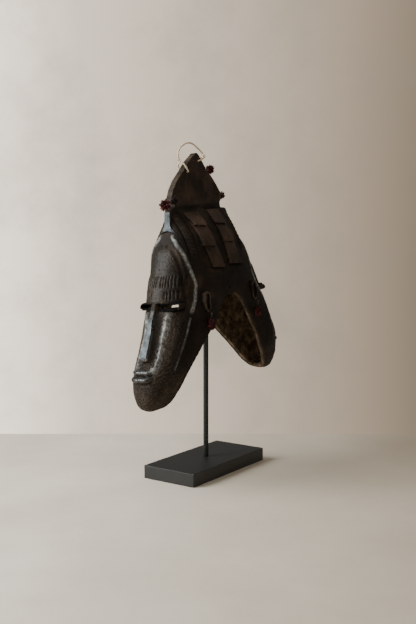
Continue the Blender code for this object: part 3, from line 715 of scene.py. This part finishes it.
def gouges(points, cell, seed):
    """0 in the middle of each gouge mark and 1 on the ridges between them."""
    size = 61
    jitter = np.random.default_rng(seed).uniform(0.15, 0.85, (size**3, 3)).astype(np.float32)
    where = points / np.asarray(cell, np.float32) + 1000.0
    base = np.floor(where).astype(np.int64)
    first = np.full(len(points), 9.0, np.float32)
    for x in (-1, 0, 1):
        for y in (-1, 0, 1):
            for z in (-1, 0, 1):
                at = base + (x, y, z)
                wrapped = at % size
                spot = at + jitter[(wrapped[:, 0] * size + wrapped[:, 1]) * size + wrapped[:, 2]]
                first = np.minimum(first, ((where - spot) ** 2).sum(1))
    return np.clip(first / 0.55, 0, 1)


# The carved details. A face is seen from in front: u across it, z up, and the two faces are alike.

BAND = [(13, 13), (18, 7), (26, -4), (36, -21), (43, -45), (49.5, -76), (51, -102), (51, -122)]
CHANNEL = [(6, -3), (17, -9), (28, -24), (35, -48), (40, -76), (43, -97)]
CHEEK_LINE = [(51, -133), (50, -155), (47.5, -180), (42, -217)]
CHEEK_RIDGE = [(25, -122), (23, -140), (20, -158), (20.5, -196), (18, -214)]
NOSE_VALLEY = [(8, -106), (12, -130), (14.5, -160), (16, -192), (15, -205)]
# Height, half width and how far the nose stands out
NOSE_ROWS = (
    (-96, 3.6, 0.5), (-112, 4.4, 4.5), (-126, 5.6, 7.0), (-150, 7.0, 8.0), (-192, 9.0, 9.5), (-198, 8.5, 8.0),
)
NOSE_TOP = -96.0
NOSE_BOTTOM = -198.0
NOSE_NOTCHES = (-141.0, -146.0)
LIP_MIDDLE = -221.5
# Each lip's height, its half height and half width, and how far it stands out
LIPS = ((-216.0, 6.6, 22.0, 5.4), (-227.6, 7.2, 21.5, 6.6))
CHEEK_GROOVE = [(46, -134), (45, -155), (42, -182), (37, -214)]
PAST_MIDDLE = 14.0
# Each line's half width, its height (below zero where it is cut in) and its softness
RELIEFS = (
    (BAND, 5.2, 3.0, 0.75), (CHANNEL, 5.5, -3.0, 0.9), (CHEEK_LINE, 3.0, 1.9, 0.8),
    (CHEEK_GROOVE, 3.4, -1.1, 0.9), (CHEEK_RIDGE, 6.5, 2.6, 1.0), (NOSE_VALLEY, 6.5, -3.8, 1.0),
)
# Each line painted pale, as rubbed wear and as painted sheen: its half width and how pale it is
RUBBED_AND_SHEEN_LINES = ((BAND, 3.8, 1.0), (CHEEK_LINE, 2.0, 0.75), (CHEEK_RIDGE, 7.0, 0.85))
EYE = (14.0, 40.0)
SLIT_HALF = 2.3
SLIT_DEPTH = 34.0
LID_MIDDLE = 4.9
LID_HALF = 1.15
FIRST_LINES = [4 + 4.9 * step for step in range(8)]
SECOND_LINES = [13.5 + 4.9 * step for step in range(5)]
BROW_ROWS = ((FIRST_LINES, -54, -76), (SECOND_LINES, -80, -97))
# Top and bottom of each shingle, as its height and its two sides along Y
SHINGLES = (
    ((55, -67, -23), (28, -62, -33)), ((38, -67, -29), (-10, -63, -28)), ((4, -62, -26), (-51, -46, -12)),
    ((58, 6, 46), (28, -2, 30)), ((38, 0, 34), (-7, 1, 34)), ((6, 2, 34), (-50, 7, 50)),
)
BRAIDS = (
    [(10, -85, 47), (19, -82, 32), (34, -84, 8), (42, -86, -12), (46, -85, -34)],
    [(14, 64, 48), (24, 64, 34), (37, 64, 8), (44, 68, -12), (49, 74, -40)],
)
EAR_OUTLINE = ((-9, 13), (-2, 19), (6, 15), (10, 2), (8, -12), (2, -20), (-2, -20), (-8, -13))
EAR_PLACES = ((-1, 83.0), (1, 78.0))
WALL_HOLE = (-3.0, -92.0)
EAR_HEIGHT = -108.0
EAR_FACE = 65.5
EAR_DEPTH = 12.0
EAR_RIM = 3.6
EAR_DISH = 5.0


def shingle_share(points):
    """Share of a shingle at each point of the side walls, how far down it that is, and the shade under it."""
    y, z = points[:, 1], points[:, 2]
    share, lowness, under = np.zeros((3, len(points)), np.float32)
    for (z_high, left_high, right_high), (z_low, left_low, right_low) in SHINGLES:
        down = (z_high - z) / (z_high - z_low)
        left = left_high + (left_low - left_high) * down
        right = right_high + (right_low - right_high) * down
        slant = 0.10 * (y - (left + right) / 2)
        inside = np.minimum(np.minimum(y - left, right - y), z - z_low + slant)
        within = smooth(inside / 1.3 + 0.5) * smooth((z_high - z) / 4 + 0.2)
        beyond = z_low - slant - z
        across = smooth(np.minimum(y - left, right + 2 - y) / 2 + 0.5)
        shade = above(beyond, -0.5, 1.5) * below(beyond, 6.5, 4) * across
        under = np.maximum(under, shade)
        better = within * (0.2 + down) > share * (0.2 + lowness)
        share = np.where(better, within, share)
        lowness = np.where(better, np.clip(down, 0, 1), lowness)
    return share, lowness, under


class Shell:
    """The helmet's distances on a grid, and the carving of its outer skin."""

    def __init__(self):
        spans = zip(GRID_LOW, GRID_HIGH)
        self.axes = [np.arange(low, high + STEP, STEP, dtype=np.float32) for low, high in spans]
        x, y, z = self.axes
        self.x = x[:, None, None]
        self.y = y[None, :, None]
        self.z = z[None, None, :]
        self.away = np.abs(self.y)
        self.near = self.y < 0
        self.tables = {
            "half": along(HALF_WIDTH, z),
            "near": along(NEAR_REACH, z),
            "far": along(FAR_REACH, z),
            "centre": along(WIDEST_AT, z),
            "power": along(SQUARENESS, z),
        }

    def loaf(self, inset):
        """Distance to the plain outer form, moved in by inset."""
        rows = {name: values.astype(np.float32)[None, None, :] for name, values in self.tables.items()}
        half = np.maximum(rows["half"] - inset, 1.0)
        reach = np.where(self.near, rows["near"], rows["far"]) - inset
        depth = np.maximum(reach - rows["centre"], 1.0)
        back = 55 + 400 * above(self.z, -140, 80)
        out = self.away - rows["centre"]
        across = (np.abs(self.x) / half) ** rows["power"]
        deep = np.where(out > 0, out / depth, -out / back) ** rows["power"]
        value = ((across + deep) ** (1 / rows["power"]) - 1) * np.minimum(half, 60.0)
        slope = np.sqrt(sum(part**2 for part in np.gradient(value, STEP)))
        return (value / np.maximum(slope, 0.2)).astype(np.float32)

    def build(self):
        """Field of the helmet and, at the same points, the plain skin's distance."""
        skin = self.loaf(0.0)
        hollow = both(self.loaf(WALL), self.z - CEILING, 10.0)
        hollow = both(hollow, LEG_BOTTOM + CHIN_WALL - self.z, 8.0)
        drop = np.where(self.near, 0.0, FAR_DROP)
        top = self.z - HELMET_TOP + drop
        bottom = LEG_BOTTOM + drop - self.z
        arch = (along(ARCH, np.abs(self.axes[1]))[None, :, None] - self.z) * 0.72
        crest = outline_distance(CREST, self.y[0], self.z[0])[None]
        crest = both(crest, np.abs(self.x) - CREST_HALF, 0.9)
        shape = (len(self.axes[0]), len(self.axes[1]), len(self.axes[2]))
        plain = both(both(both(skin, top, 5.0), bottom, 8.0), arch, 3.0)
        plain = either(np.maximum(plain, -hollow), crest, 4.0)
        chosen = np.nonzero(np.abs(plain) < CARVED_DEPTH)

        def gather(array):
            return np.broadcast_to(array, shape)[chosen].astype(np.float32)

        points = np.stack([gather(axis) for axis in (self.x, self.y, self.z)], axis=1)
        forms = [gather(form) for form in (skin, top, bottom, arch, hollow, crest)]
        field = plain.astype(np.float32)
        field[chosen] = self.carve(points, *forms)
        return field

    def front(self, side, u, z):
        """How far out the plain face lies at (u, z)."""
        half = along(HALF_WIDTH, z)
        power = along(SQUARENESS, z)
        centre = along(WIDEST_AT, z)
        reach = along(NEAR_REACH if side < 0 else FAR_REACH, z)
        inside = np.maximum(1 - (np.abs(u) / half) ** power, 0.0)
        return centre + (reach - centre) * inside ** (1 / power)

    def on_face(self, side, route, mirrored):
        """A route of (u, z) points laid on the face, as (u, out, z)."""
        u = np.array([point[0] for point in route], float) * mirrored
        z = np.array([point[1] for point in route], float)
        return np.stack([u, self.front(side, u, z), z], axis=1)

    def carve(self, points, skin, top, bottom, arch, hollow, crest):
        """Distances at the points once every detail is carved."""
        x, y, z = points.T
        side = np.where(y < 0, -1.0, 1.0).astype(np.float32)
        u = -side * x
        out = np.abs(y)
        face = np.stack([u, out, z], axis=1)
        raised = np.zeros(len(points), np.float32)
        self.uneven(points, raised)
        for which in (-1.0, 1.0):
            mine = (side == which) & (np.abs(skin) < CARVED_DEPTH)
            raised[mine] += self.face_relief(which, face[mine])
        self.neck_cloth(points, skin, raised)
        skin = skin - raised
        body = both(both(both(skin, top, 4.0), bottom, 8.0), arch, 2.0)
        body = self.noses_and_lips(side, face, body)
        body = self.ears(points, body)
        body = self.eyes(face, skin, body)
        chipped = 0.9 * (1 - gouges(points, (8.0, 12.0, 17.0), 11))
        inside = hollow + chipped + 0.7 * lattice_noise(points, 14.0, 12)
        body = both(body, -inside, 1.2)
        slit = self.slit(side, face)
        body = np.where(slit < 0, np.maximum(body, -slit), body)
        return self.crest_and_holes(points, body, crest)

    def uneven(self, points, raised):
        """Hand-cut unevenness all over, and gouge marks on the lower half."""
        raised += 0.55 * lattice_noise(points, 26.0, 1) + 0.22 * lattice_noise(points, 9.0, 2)
        lower = below(points[:, 2], -118, 20)
        raised -= 0.75 * lower * (1 - gouges(points, (4.6, 7.0, 5.6), 3))

    def face_relief(self, side, face):
        """Height over the plain face of its lines, its brow and the recess round its eyes."""
        u, _, z = face.T
        amount = np.zeros(len(face), np.float32)
        for hand in (-1.0, 1.0):
            chosen = np.nonzero(u * hand > -PAST_MIDDLE)[0]
            for route, width, height, soft in RELIEFS:
                reached = route_distance(self.on_face(side, route, hand), face[chosen])
                amount[chosen] += height * smooth((1 - reached / width) / soft)
        brow = below(np.abs(u - 1), 44, 10) * above(z, -108, 7) * below(z, -52, 14)
        amount += 2.2 * brow * (np.abs(u) < 46)
        amount -= 5.5 * below(np.abs(u + 1), 46, 5) * above(z, -119.5, 5) * below(z, -101, 3)
        amount -= self.incised(u, z)
        return amount

    def incised(self, u, z):
        """Two rows of upright lines over each brow."""
        depth = np.zeros(len(u), np.float32)
        for starts, high, low in BROW_ROWS:
            ends = below(z, high, 2.5) * above(z, low, 2.5)
            for start in starts:
                for hand in (-1.0, 1.0):
                    centre = 2 + hand * (start + 0.06 * (high - z))
                    depth += 2.0 * ends * smooth((1 - np.abs(u - centre) / 1.75) / 0.9)
        frame_line = np.exp(-((z + 51.5) / 1.3) ** 2) + 0.7 * np.exp(-((z + 78.0) / 1.2) ** 2)
        return depth + 0.5 * frame_line * below(np.abs(u - 2), 42, 4)

    def neck_cloth(self, points, skin, raised):
        """Overlapping plates down each side of the neck, and the braid beside them."""
        chosen = np.nonzero((np.abs(skin) < 9) & (points[:, 2] > -80))[0]
        spots = points[chosen]
        aside = np.abs(spots[:, 0])
        y, z = spots[:, 1], spots[:, 2]
        within, down, _ = shingle_share(spots)
        plates = within * (0.6 + 5.6 * down)
        raised[chosen] += plates * smooth(aside / 6)
        folded = np.stack([aside, y, z], axis=1)
        for route in BRAIDS:
            reached = route_distance(route, folded)
            knotted = 1.0 + 0.35 * np.cos((z + 0.5 * y) * 0.9)
            fade = above(z, -36, 22)
            raised[chosen] += fade * 3.0 * knotted * smooth(1.15 - reached / 7.5)
            raised[chosen] -= fade * 1.3 * smooth(1 - np.abs(reached - 10.0) / 3.0)
        low = np.exp(-((z + 52 + 0.06 * y) / 2.0) ** 2) * ((y > -60) & (y < 60))
        raised[chosen] -= 0.6 * low

    def noses_and_lips(self, side, face, body):
        """Long flat-fronted nose with its notched edges, and the mouth's two thick lips."""
        u, out, z = face.T
        across = np.abs(u - FACE_SHIFT)
        rows = np.array(sorted(NOSE_ROWS), float).T
        for which, table in ((-1.0, NEAR_REACH), (1.0, FAR_REACH)):
            chosen = np.nonzero((side == which) & (across < 34) & (z < -84) & (z > -246))[0]
            v, a, h = across[chosen], out[chosen], z[chosen]
            mine = body[chosen]
            reach = along(table, h)
            half = np.interp(h, rows[0], rows[1])
            proud = np.interp(h, rows[0], rows[2])
            front = (a - reach - proud) * 0.92
            flank = (v - half - np.clip(reach + proud - a, 0, 30) * 0.32) * 0.93
            nose = both(both(front, flank, 1.0), np.maximum(h - NOSE_TOP, NOSE_BOTTOM - h), 1.5)
            mine = either(mine, nose.astype(np.float32), 1.6)
            base = along(table, np.full(1, LIP_MIDDLE))[0]
            slope = base + (h - LIP_MIDDLE) * -0.5
            for centre, tall, wide, outward in LIPS:
                form = (v / wide) ** 4 + ((a - slope + 5) / (5 + outward)) ** 2 + ((h - centre) / tall) ** 2
                mine = either(mine, ((np.sqrt(form) - 1) * 5.5).astype(np.float32), 0.8)
            parted = np.maximum(np.abs(h + 221.8 + 0.006 * v**2) - 0.9, v - 19.5)
            mine = both(mine, -np.maximum(parted, reach + 1.0 - a).astype(np.float32), 0.6)
            for notch in NOSE_NOTCHES:
                cut = np.maximum(np.abs(h - notch - 0.25 * (v - 6)) - 0.9, 4.2 - v)
                mine = both(mine, -np.maximum(cut, reach + 2.0 - a).astype(np.float32), 0.5)
            body[chosen] = mine
        return body

    def ears(self, points, body):
        """Dished ears with a rim, on the side walls."""
        aside = np.abs(points[:, 0])
        height = points[:, 2] - EAR_HEIGHT
        for side, place in EAR_PLACES:
            ahead = side * (points[:, 1] - side * place)
            chosen = np.nonzero((np.abs(ahead) < 24) & (np.abs(height) < 32))[0]
            v, h, w = ahead[chosen], height[chosen], aside[chosen]
            shape = outline_distance(EAR_OUTLINE, v, h)
            ear = both(both(shape, w - EAR_FACE, 1.5), EAR_FACE - EAR_DEPTH - w, 1.0)
            joined = either(body[chosen], ear.astype(np.float32), 1.5)
            dish = np.maximum(shape + EAR_RIM, EAR_FACE - EAR_DISH + 0.02 * (v**2 + h**2 / 3) - w)
            body[chosen] = both(joined, -dish.astype(np.float32), 0.8)
        return body

    def slit_plane(self, face):
        """Distance in the face's plane to the middle line of the nearer eye."""
        across = np.abs(face[:, 0] - FACE_SHIFT * 0.3)
        inner, outer = EYE
        reached = np.maximum(np.maximum(inner - across, across - outer), 0.0)
        return np.sqrt(reached**2 + (face[:, 2] - EYE_HEIGHT) ** 2)

    def slit(self, side, face):
        """The opening through the wall."""
        across, _, height = face.T
        plain = np.where(side < 0, self.front(-1, across, height), self.front(1, across, height))
        return np.maximum(self.slit_plane(face) - SLIT_HALF, plain - SLIT_DEPTH - face[:, 1])

    def eyes(self, face, skin, body):
        """Lids that stand out round each slit."""
        chosen = np.nonzero((np.abs(face[:, 2] - EYE_HEIGHT) < 14) & (np.abs(face[:, 0]) < 58))[0]
        some = face[chosen]
        ring = np.abs(self.slit_plane(some) - LID_MIDDLE) - LID_HALF
        rise = -1.0 + 8.0 * above(np.abs(some[:, 0]), 20, 16)
        stand = skin[chosen] - 5.5 - rise
        lid = both(ring, np.maximum(stand, -stand - 18), 0.8)
        body[chosen] = either(body[chosen], lid.astype(np.float32), 1.0)
        return body

    def crest_and_holes(self, points, body, crest):
        """The worn crest on its collar, its holes, and the hole in each side wall."""
        x, y, z = points.T
        worn_crest = crest + 0.22 * lattice_noise(points, 22.0, 21) + 0.08 * lattice_noise(points, 6.0, 22)
        collar = np.exp(-((z - 70 + 0.004 * y**2) / 2.2) ** 2) * (np.abs(y) < 66)
        body = either(body, worn_crest - 0.7 * collar, 4.0)
        holes = [(*NEAR_CORD_HOLE, CORD_HOLE_RADIUS), (*FAR_CORD_HOLE, CORD_HOLE_RADIUS)]
        holes += [(*hole, TIE_HOLE_RADIUS) for _, hole, _, _ in CREST_TASSELS]
        for hole_y, hole_z, radius in holes:
            hole = np.maximum(np.hypot(y - hole_y, z - hole_z) - radius, np.abs(x) - 20)
            body = both(body, -hole.astype(np.float32), 0.6)
        from_hole = np.hypot(y - WALL_HOLE[0], z - WALL_HOLE[1]) - WALL_HOLE_RADIUS
        wall_hole = np.maximum(from_hole, 50 - np.abs(x))
        return both(body, -wall_hole.astype(np.float32), 0.6)


def contour(field, low, step):
    """Quad mesh of the field's zero surface, with a vertex at the mean of its crossings in each cell."""
    inside = field < 0
    shape = tuple(size - 1 for size in field.shape)
    crossings = np.zeros(shape, np.int32)
    total = np.zeros((*shape, 3), np.float32)
    found = []
    for axis in range(3):
        first = [slice(None)] * 3
        second = [slice(None)] * 3
        first[axis] = slice(0, -1)
        second[axis] = slice(1, None)
        spots = np.nonzero(inside[tuple(first)] != inside[tuple(second)])
        one = field[tuple(first)][spots]
        two = field[tuple(second)][spots]
        place = np.stack(spots, axis=1).astype(np.float32)
        place[:, axis] += one / (one - two)
        others = [other for other in range(3) if other != axis]
        for back_one in (0, -1):
            for back_two in (0, -1):
                cell = np.stack(spots, axis=1)
                cell[:, others[0]] += back_one
                cell[:, others[1]] += back_two
                valid = ((cell >= 0) & (cell < shape)).all(axis=1)
                flat = np.ravel_multi_index(cell[valid].T, shape)
                np.add.at(crossings.reshape(-1), flat, 1)
                np.add.at(total.reshape(-1, 3), flat, place[valid])
        found.append((spots, others, inside[tuple(first)][spots]))
    used = crossings > 0
    number = np.full(shape, -1, np.int64)
    number[used] = np.arange(used.sum())
    points = total[used] / crossings[used][:, None] * step + np.array(low)
    quads = []
    for axis, (spots, others, first_inside) in enumerate(found):
        corners = []
        for back_one, back_two in ((-1, -1), (0, -1), (0, 0), (-1, 0)):
            cell = [spot.copy() for spot in spots]
            cell[others[0]] += back_one
            cell[others[1]] += back_two
            corners.append(number[cell[0], cell[1], cell[2]])
        quad = np.stack(corners, axis=1)
        turned = first_inside if axis != 1 else ~first_inside
        quad[~turned] = quad[~turned][:, ::-1]
        quads.append(quad)
    return points, np.concatenate(quads)


def neighbour_mean(points, edges, count):
    sums = [np.bincount(edges[:, 0], points[edges[:, 1], axis], len(points)) for axis in range(3)]
    return np.stack(sums, axis=1) / count


def relaxed(points, quads, rounds):
    """Points eased towards their neighbours' mean and back, which takes the grid's steps out."""
    edges = np.concatenate([quads[:, [0, 1]], quads[:, [1, 2]], quads[:, [2, 3]], quads[:, [3, 0]]])
    count = np.bincount(edges[:, 0], minlength=len(points)).astype(np.float32)[:, None]
    for turn in range(rounds):
        share = 0.5 if turn % 2 == 0 else -0.52
        points = points + (neighbour_mean(points, edges, count) - points) * share
    return points, edges, count


def vertex_normals(points, quads):
    one = points[quads[:, 2]] - points[quads[:, 0]]
    two = points[quads[:, 3]] - points[quads[:, 1]]
    flat = np.cross(one, two)
    normals = np.zeros_like(points)
    for corner in range(4):
        for axis in range(3):
            normals[:, axis] += np.bincount(quads[:, corner], flat[:, axis], len(points))
    return normals / np.maximum(np.linalg.norm(normals, axis=1)[:, None], 1e-9)


def bentness(points, quads, edges, count, rounds):
    """Millimetres that each point stands out of its neighbourhood, and below zero in a fold."""
    near = points
    for _ in range(rounds):
        near = neighbour_mean(near, edges, count)
    return ((points - near) * vertex_normals(points, quads)).sum(axis=1)


def helmet_zones(shell, points, bent, broad):
    """The wood's zones at each vertex: worn edges, painted shade in folds and hollows, bare inner wood,
    polished relief, and pale lines that are rubbed wear and painted sheen.
    """
    x, y, z = points.T
    side = np.where(y < 0, -1.0, 1.0)
    u = -side * x
    aside = np.abs(x)
    face = np.stack([u, np.abs(y), z], axis=1).astype(np.float32)
    behind = np.where(side < 0, shell.front(-1, u, z), shell.front(1, u, z)) - np.abs(y)
    inner = (behind > 7.5) & (aside < along(HALF_WIDTH, z) - 6.5) & (z < 2)
    polish, pale = np.zeros((2, len(points)))
    for which in (-1.0, 1.0):
        for hand in (-1.0, 1.0):
            chosen = np.nonzero((side == which) & (u * hand > -PAST_MIDDLE) & ~inner)[0]
            for route, width, much in RUBBED_AND_SHEEN_LINES:
                reached = route_distance(shell.on_face(which, route, hand), face[chosen])
                pale[chosen] = np.maximum(pale[chosen], much * smooth(1.4 - reached / width))
    narrowing = np.maximum(z + 30, 0) * 0.6
    forehead = smooth((36 - np.abs(u - 1) - narrowing) / 6) * above(z, -103, 5) * below(z, -6, 8)
    mouth = below(np.abs(u - FACE_SHIFT), 24, 4) * above(z, -236, 4) * below(z, -210, 4)
    nose = below(np.abs(u - FACE_SHIFT), 14, 4) * above(z, -201, 4) * below(z, -110, 6)
    for zone, much in ((forehead, 0.42), (mouth, 1.0), (nose, 0.6)):
        polish = np.maximum(polish, much * zone * ~inner)
    # Painted shade: folds, broad hollows and the recess round the eyes go into deep, which paints them near
    # black.
    dull = below(bent, -0.05, 0.30)
    polish *= 1 - dull
    rim = below(z - along(ARCH, np.abs(y)), 12, 6)
    worn = above(bent, 0.10, 0.35) * np.where(inner, 0.4, 0.8) * (1 - 0.85 * rim)
    strip = (aside < CREST_HALF + 0.4) & (outline_distance(CREST, y, z) > -1.1) & (z > 70) & (y < 6)
    worn = np.maximum(worn, 0.62 * strip)
    recess = below(np.abs(u + 1), 45, 3) * above(z, -118, 3) * below(z, -101, 2) * (np.abs(u + 3) > 9)
    deep = np.maximum(np.maximum(dull, below(broad, -0.5, 1.8)), recess * (behind < 9))
    below_eyes = below(z, -112, 8) * below(behind, 22, 14)
    pitted = np.maximum(below_eyes, 0.45 * forehead) * (1 - polish) * (1 - pale)
    pitted = pitted * below(np.abs(u), 50, 14) * ~inner
    worn = worn * (1 - 0.5 * polish)
    pale *= (1 - 0.8 * dull) * ~inner
    shingle, _, under = shingle_share(points)
    walls = (aside > 8) * ~inner
    shingle = shingle * walls * (0.3 + 0.7 * above(z, -45, 50))
    # Painted shadow under each shingle's lower edge.
    deep = np.maximum(deep, 0.85 * under * (1 - shingle) * walls)
    worn = worn * (1 - 0.6 * shingle)
    shingle = np.maximum(shingle, 0.38 * (z > 66) * (1 - strip))
    # Painted shade: the lower side walls, which face away from the window, are darkened.
    low_side = below(z, -116, 30) * above(np.abs(u), 36, 12) * ~inner
    deep = np.maximum(deep, 0.5 * low_side)
    return dict(zip(ZONES, (worn, deep, np.where(inner, 1.0, 0.0), polish, pitted, pale, shingle)))


def make_helmet():
    shell = Shell()
    points, quads = contour(shell.build(), GRID_LOW, STEP)
    points, edges, count = relaxed(points, quads, 2)
    bent = bentness(points, quads, edges, count, 2)
    broad = bentness(points, quads, edges, count, 14)
    zones = helmet_zones(shell, points, bent, broad)
    mesh = bpy.data.meshes.new("carved_helmet_wood")
    mesh.vertices.add(len(points))
    mesh.vertices.foreach_set("co", placed(points).astype(np.float32).ravel())
    mesh.loops.add(quads.size)
    mesh.loops.foreach_set("vertex_index", quads.astype(np.int32).ravel())
    mesh.polygons.add(len(quads))
    mesh.polygons.foreach_set("loop_start", np.arange(0, quads.size, 4, dtype=np.int32))
    mesh.update(calc_edges=True)
    mesh.validate()
    mesh.shade_smooth()
    for name, values in zones.items():
        layer = mesh.attributes.new(name, "FLOAT", "POINT")
        layer.data.foreach_set("value", values.astype(np.float32))
    mesh.materials.append(carved_wood())
    helmet = bpy.data.objects.new("carved_helmet_wood", mesh)
    bpy.context.scene.collection.objects.link(helmet)
    if 2 * len(quads) > TRIANGLES:
        thin = helmet.modifiers.new("thin", "DECIMATE")
        thin.ratio = TRIANGLES / (2 * len(quads))
        ready = helmet.evaluated_get(bpy.context.evaluated_depsgraph_get())
        thinned = bpy.data.meshes.new_from_object(ready)
        helmet.modifiers.remove(thin)
        helmet.data = thinned
        helmet.data.shade_smooth()
    carry(helmet, "carved_wood", "mask", "carved_helmet")


make_helmet()


# Wool balls and the cords that hold them

GOLDEN_ANGLE = 2.39996


def strand_ball(name, centre, halves, count, seed, droop=0.0, lightness=0.45):
    """Ball of loose wool ends round centre, in metres of the row frame, with halves as its reach by axis."""
    noise = np.random.default_rng(seed)
    halves = np.asarray(halves, float)
    parts, tones = [], []
    for index in range(count):
        height = 1 - 2 * (index + 0.5) / count
        angle = index * GOLDEN_ANGLE + noise.normal(0, 0.25)
        flat = math.sqrt(1 - height * height)
        outward = np.array([flat * math.cos(angle), flat * math.sin(angle), height])
        outward += noise.normal(0, 0.16, 3)
        outward /= np.linalg.norm(outward)
        bend = np.cross(outward, noise.normal(size=3))
        reach = noise.uniform(0.75, 1.22)
        steps = np.linspace(0.12, 1.0, 6)[:, None]
        line = outward * steps * reach + bend * (0.34 * steps**2 - 0.22 * steps**4)
        line[:, 2] -= droop * (steps[:, 0] ** 2) * 0.5
        line *= np.minimum(1.0, 1.25 / np.maximum(np.linalg.norm(line, axis=1), 1e-6))[:, None]
        path = np.asarray(centre) / MM + line * halves
        width = noise.uniform(0.55, 0.9) * np.array([1.0, 1.05, 1.1, 1.1, 0.95, 0.45])
        points, faces = tube_parts(path, width, 5)
        parts.append((points * MM, faces))
        tones.append(float(np.clip(noise.normal(lightness, 0.28), 0, 1)))
    return object_of(name, parts, wool(), tones)


TUFT_PLACE = (9.5, -85.0, 78.0)
TUFT_RADIUS = 6.5
WOOL_REACH = {"near_crest": 0.97, "upper_far_crest": 0.86, "lower_far_crest": 1.0}


def make_tassels():
    tuft = strand_ball("near_crest_tuft", placed([TUFT_PLACE])[0], (TUFT_RADIUS,) * 3, 150, 39, 0.3, -0.2)
    carry(tuft, "red_wool", "mask")
    for index, (name, _, centre, radius) in enumerate(CREST_TASSELS):
        halves = (radius * WOOL_REACH[name],) * 3
        ball = strand_ball(f"{name}_tassel_wool", placed([centre])[0], halves, 240, 40 + index)
        carry(ball, "red_wool", f"{name}_ball", f"{name}_tassel")
    for label in ("near", "far"):
        for hand in ("left", "right"):
            name = f"{label}_{hand}_ear"
            low, high = (Vector(corner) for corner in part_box(f"{name}_tassel"))
            middle, halves = (low + high) / 2, (high - low) / 2 / MM
            seed = 60 + len(name) + (hand == "left")
            ball = strand_ball(f"{name}_tassel_wool", middle, halves, 200, seed, droop=0.5)
            carry(ball, "red_wool", f"{name}_ball", f"{name}_tassel")


def crest_edge(hole, direction):
    """Distance from a hole to the crest's edge along a direction in the plane of the crest."""
    nearest = 1000.0
    for (y0, z0), (y1, z1) in zip(CREST, CREST[1:]):
        run_y, run_z = y1 - y0, z1 - z0
        spread = direction[0] * run_z - direction[1] * run_y
        if abs(spread) < 1e-9:
            continue
        distance = ((y0 - hole[0]) * run_z - (z0 - hole[1]) * run_y) / spread
        share = ((y0 - hole[0]) * direction[1] - (z0 - hole[1]) * direction[0]) / spread
        if distance > 0 and 0 <= share <= 1:
            nearest = min(nearest, distance)
    return nearest


def make_lashing(node, hole, end, radius, material, slot, seed):
    """Twisted loop through a hole in the crest and over its edge, out to end."""
    start = np.array([0.0, *hole])
    direction = np.array([0.0, *end]) - start
    length = float(np.linalg.norm(direction))
    direction /= length
    beside = CREST_HALF + radius + 0.5
    past = crest_edge(hole, direction[1:]) + radius + 0.5
    out = past + (length - past) * 0.6
    shape = (
        (-beside + radius, 0.0), (beside - radius, 0.0), (beside, radius), (beside, past),
        (beside * 0.7, out), (0.0, length), (-beside * 0.7, out), (-beside, past), (-beside, radius),
    )
    loop = [start + np.array([x, 0, 0]) + direction * reach for x, reach in shape]
    route = smooth_route(loop, 1.2, closed=True)
    parts = twisted(route, radius * FRAYED_LASHING, 2, 6.0, seed, 0.34)
    lashing = object_of(f"{node}_fibre", parts, material)
    carry(lashing, slot, "mask", node)


def loop_end(hole, centre, radius, cord):
    """Where a loop of that cord's radius meets a ball or knot, in the plane of the crest."""
    gap = np.array(centre[1:]) - hole
    short = radius * 1.06 + cord + PIECE_GAP
    return np.array(hole) + gap * (1 - short / np.linalg.norm([centre[0], *gap]))


def make_lashings():
    cords = (("near", NEAR_CORD_HOLE, NEAR_KNOT, 2.4), ("far", FAR_CORD_HOLE, FAR_KNOT, 3.4))
    for index, (label, hole, knot, radius) in enumerate(cords):
        end = loop_end(hole, knot, radius, CORD_RADIUS)
        node = f"{label}_cord_lashing"
        make_lashing(node, hole, end, CORD_RADIUS, pale_fibre(), "pale_fibre", 80 + index)
    for index, (name, hole, centre, radius) in enumerate(CREST_TASSELS):
        end = loop_end(hole, centre, radius, TIE_RADIUS)
        make_lashing(f"{name}_tie", hole, end, TIE_RADIUS, brown_fibre(), "brown_fibre", 90 + index)


make_tassels()
make_lashings()

CARRIED = {
    "base_block": painted_wood, "post": black_steel, "swivel_cap": black_steel, "felt_pad": felt_cloth,
}
for label in ("near", "far"):
    CARRIED |= {f"{label}_{place}_plate": grey_sheet for place in ("crest", "nose")}
    CARRIED |= {f"{label}_{hand}_ear_tie": brown_fibre for hand in ("left", "right")}
for node, look in CARRIED.items():
    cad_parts[node].material_slots[0].material = look()
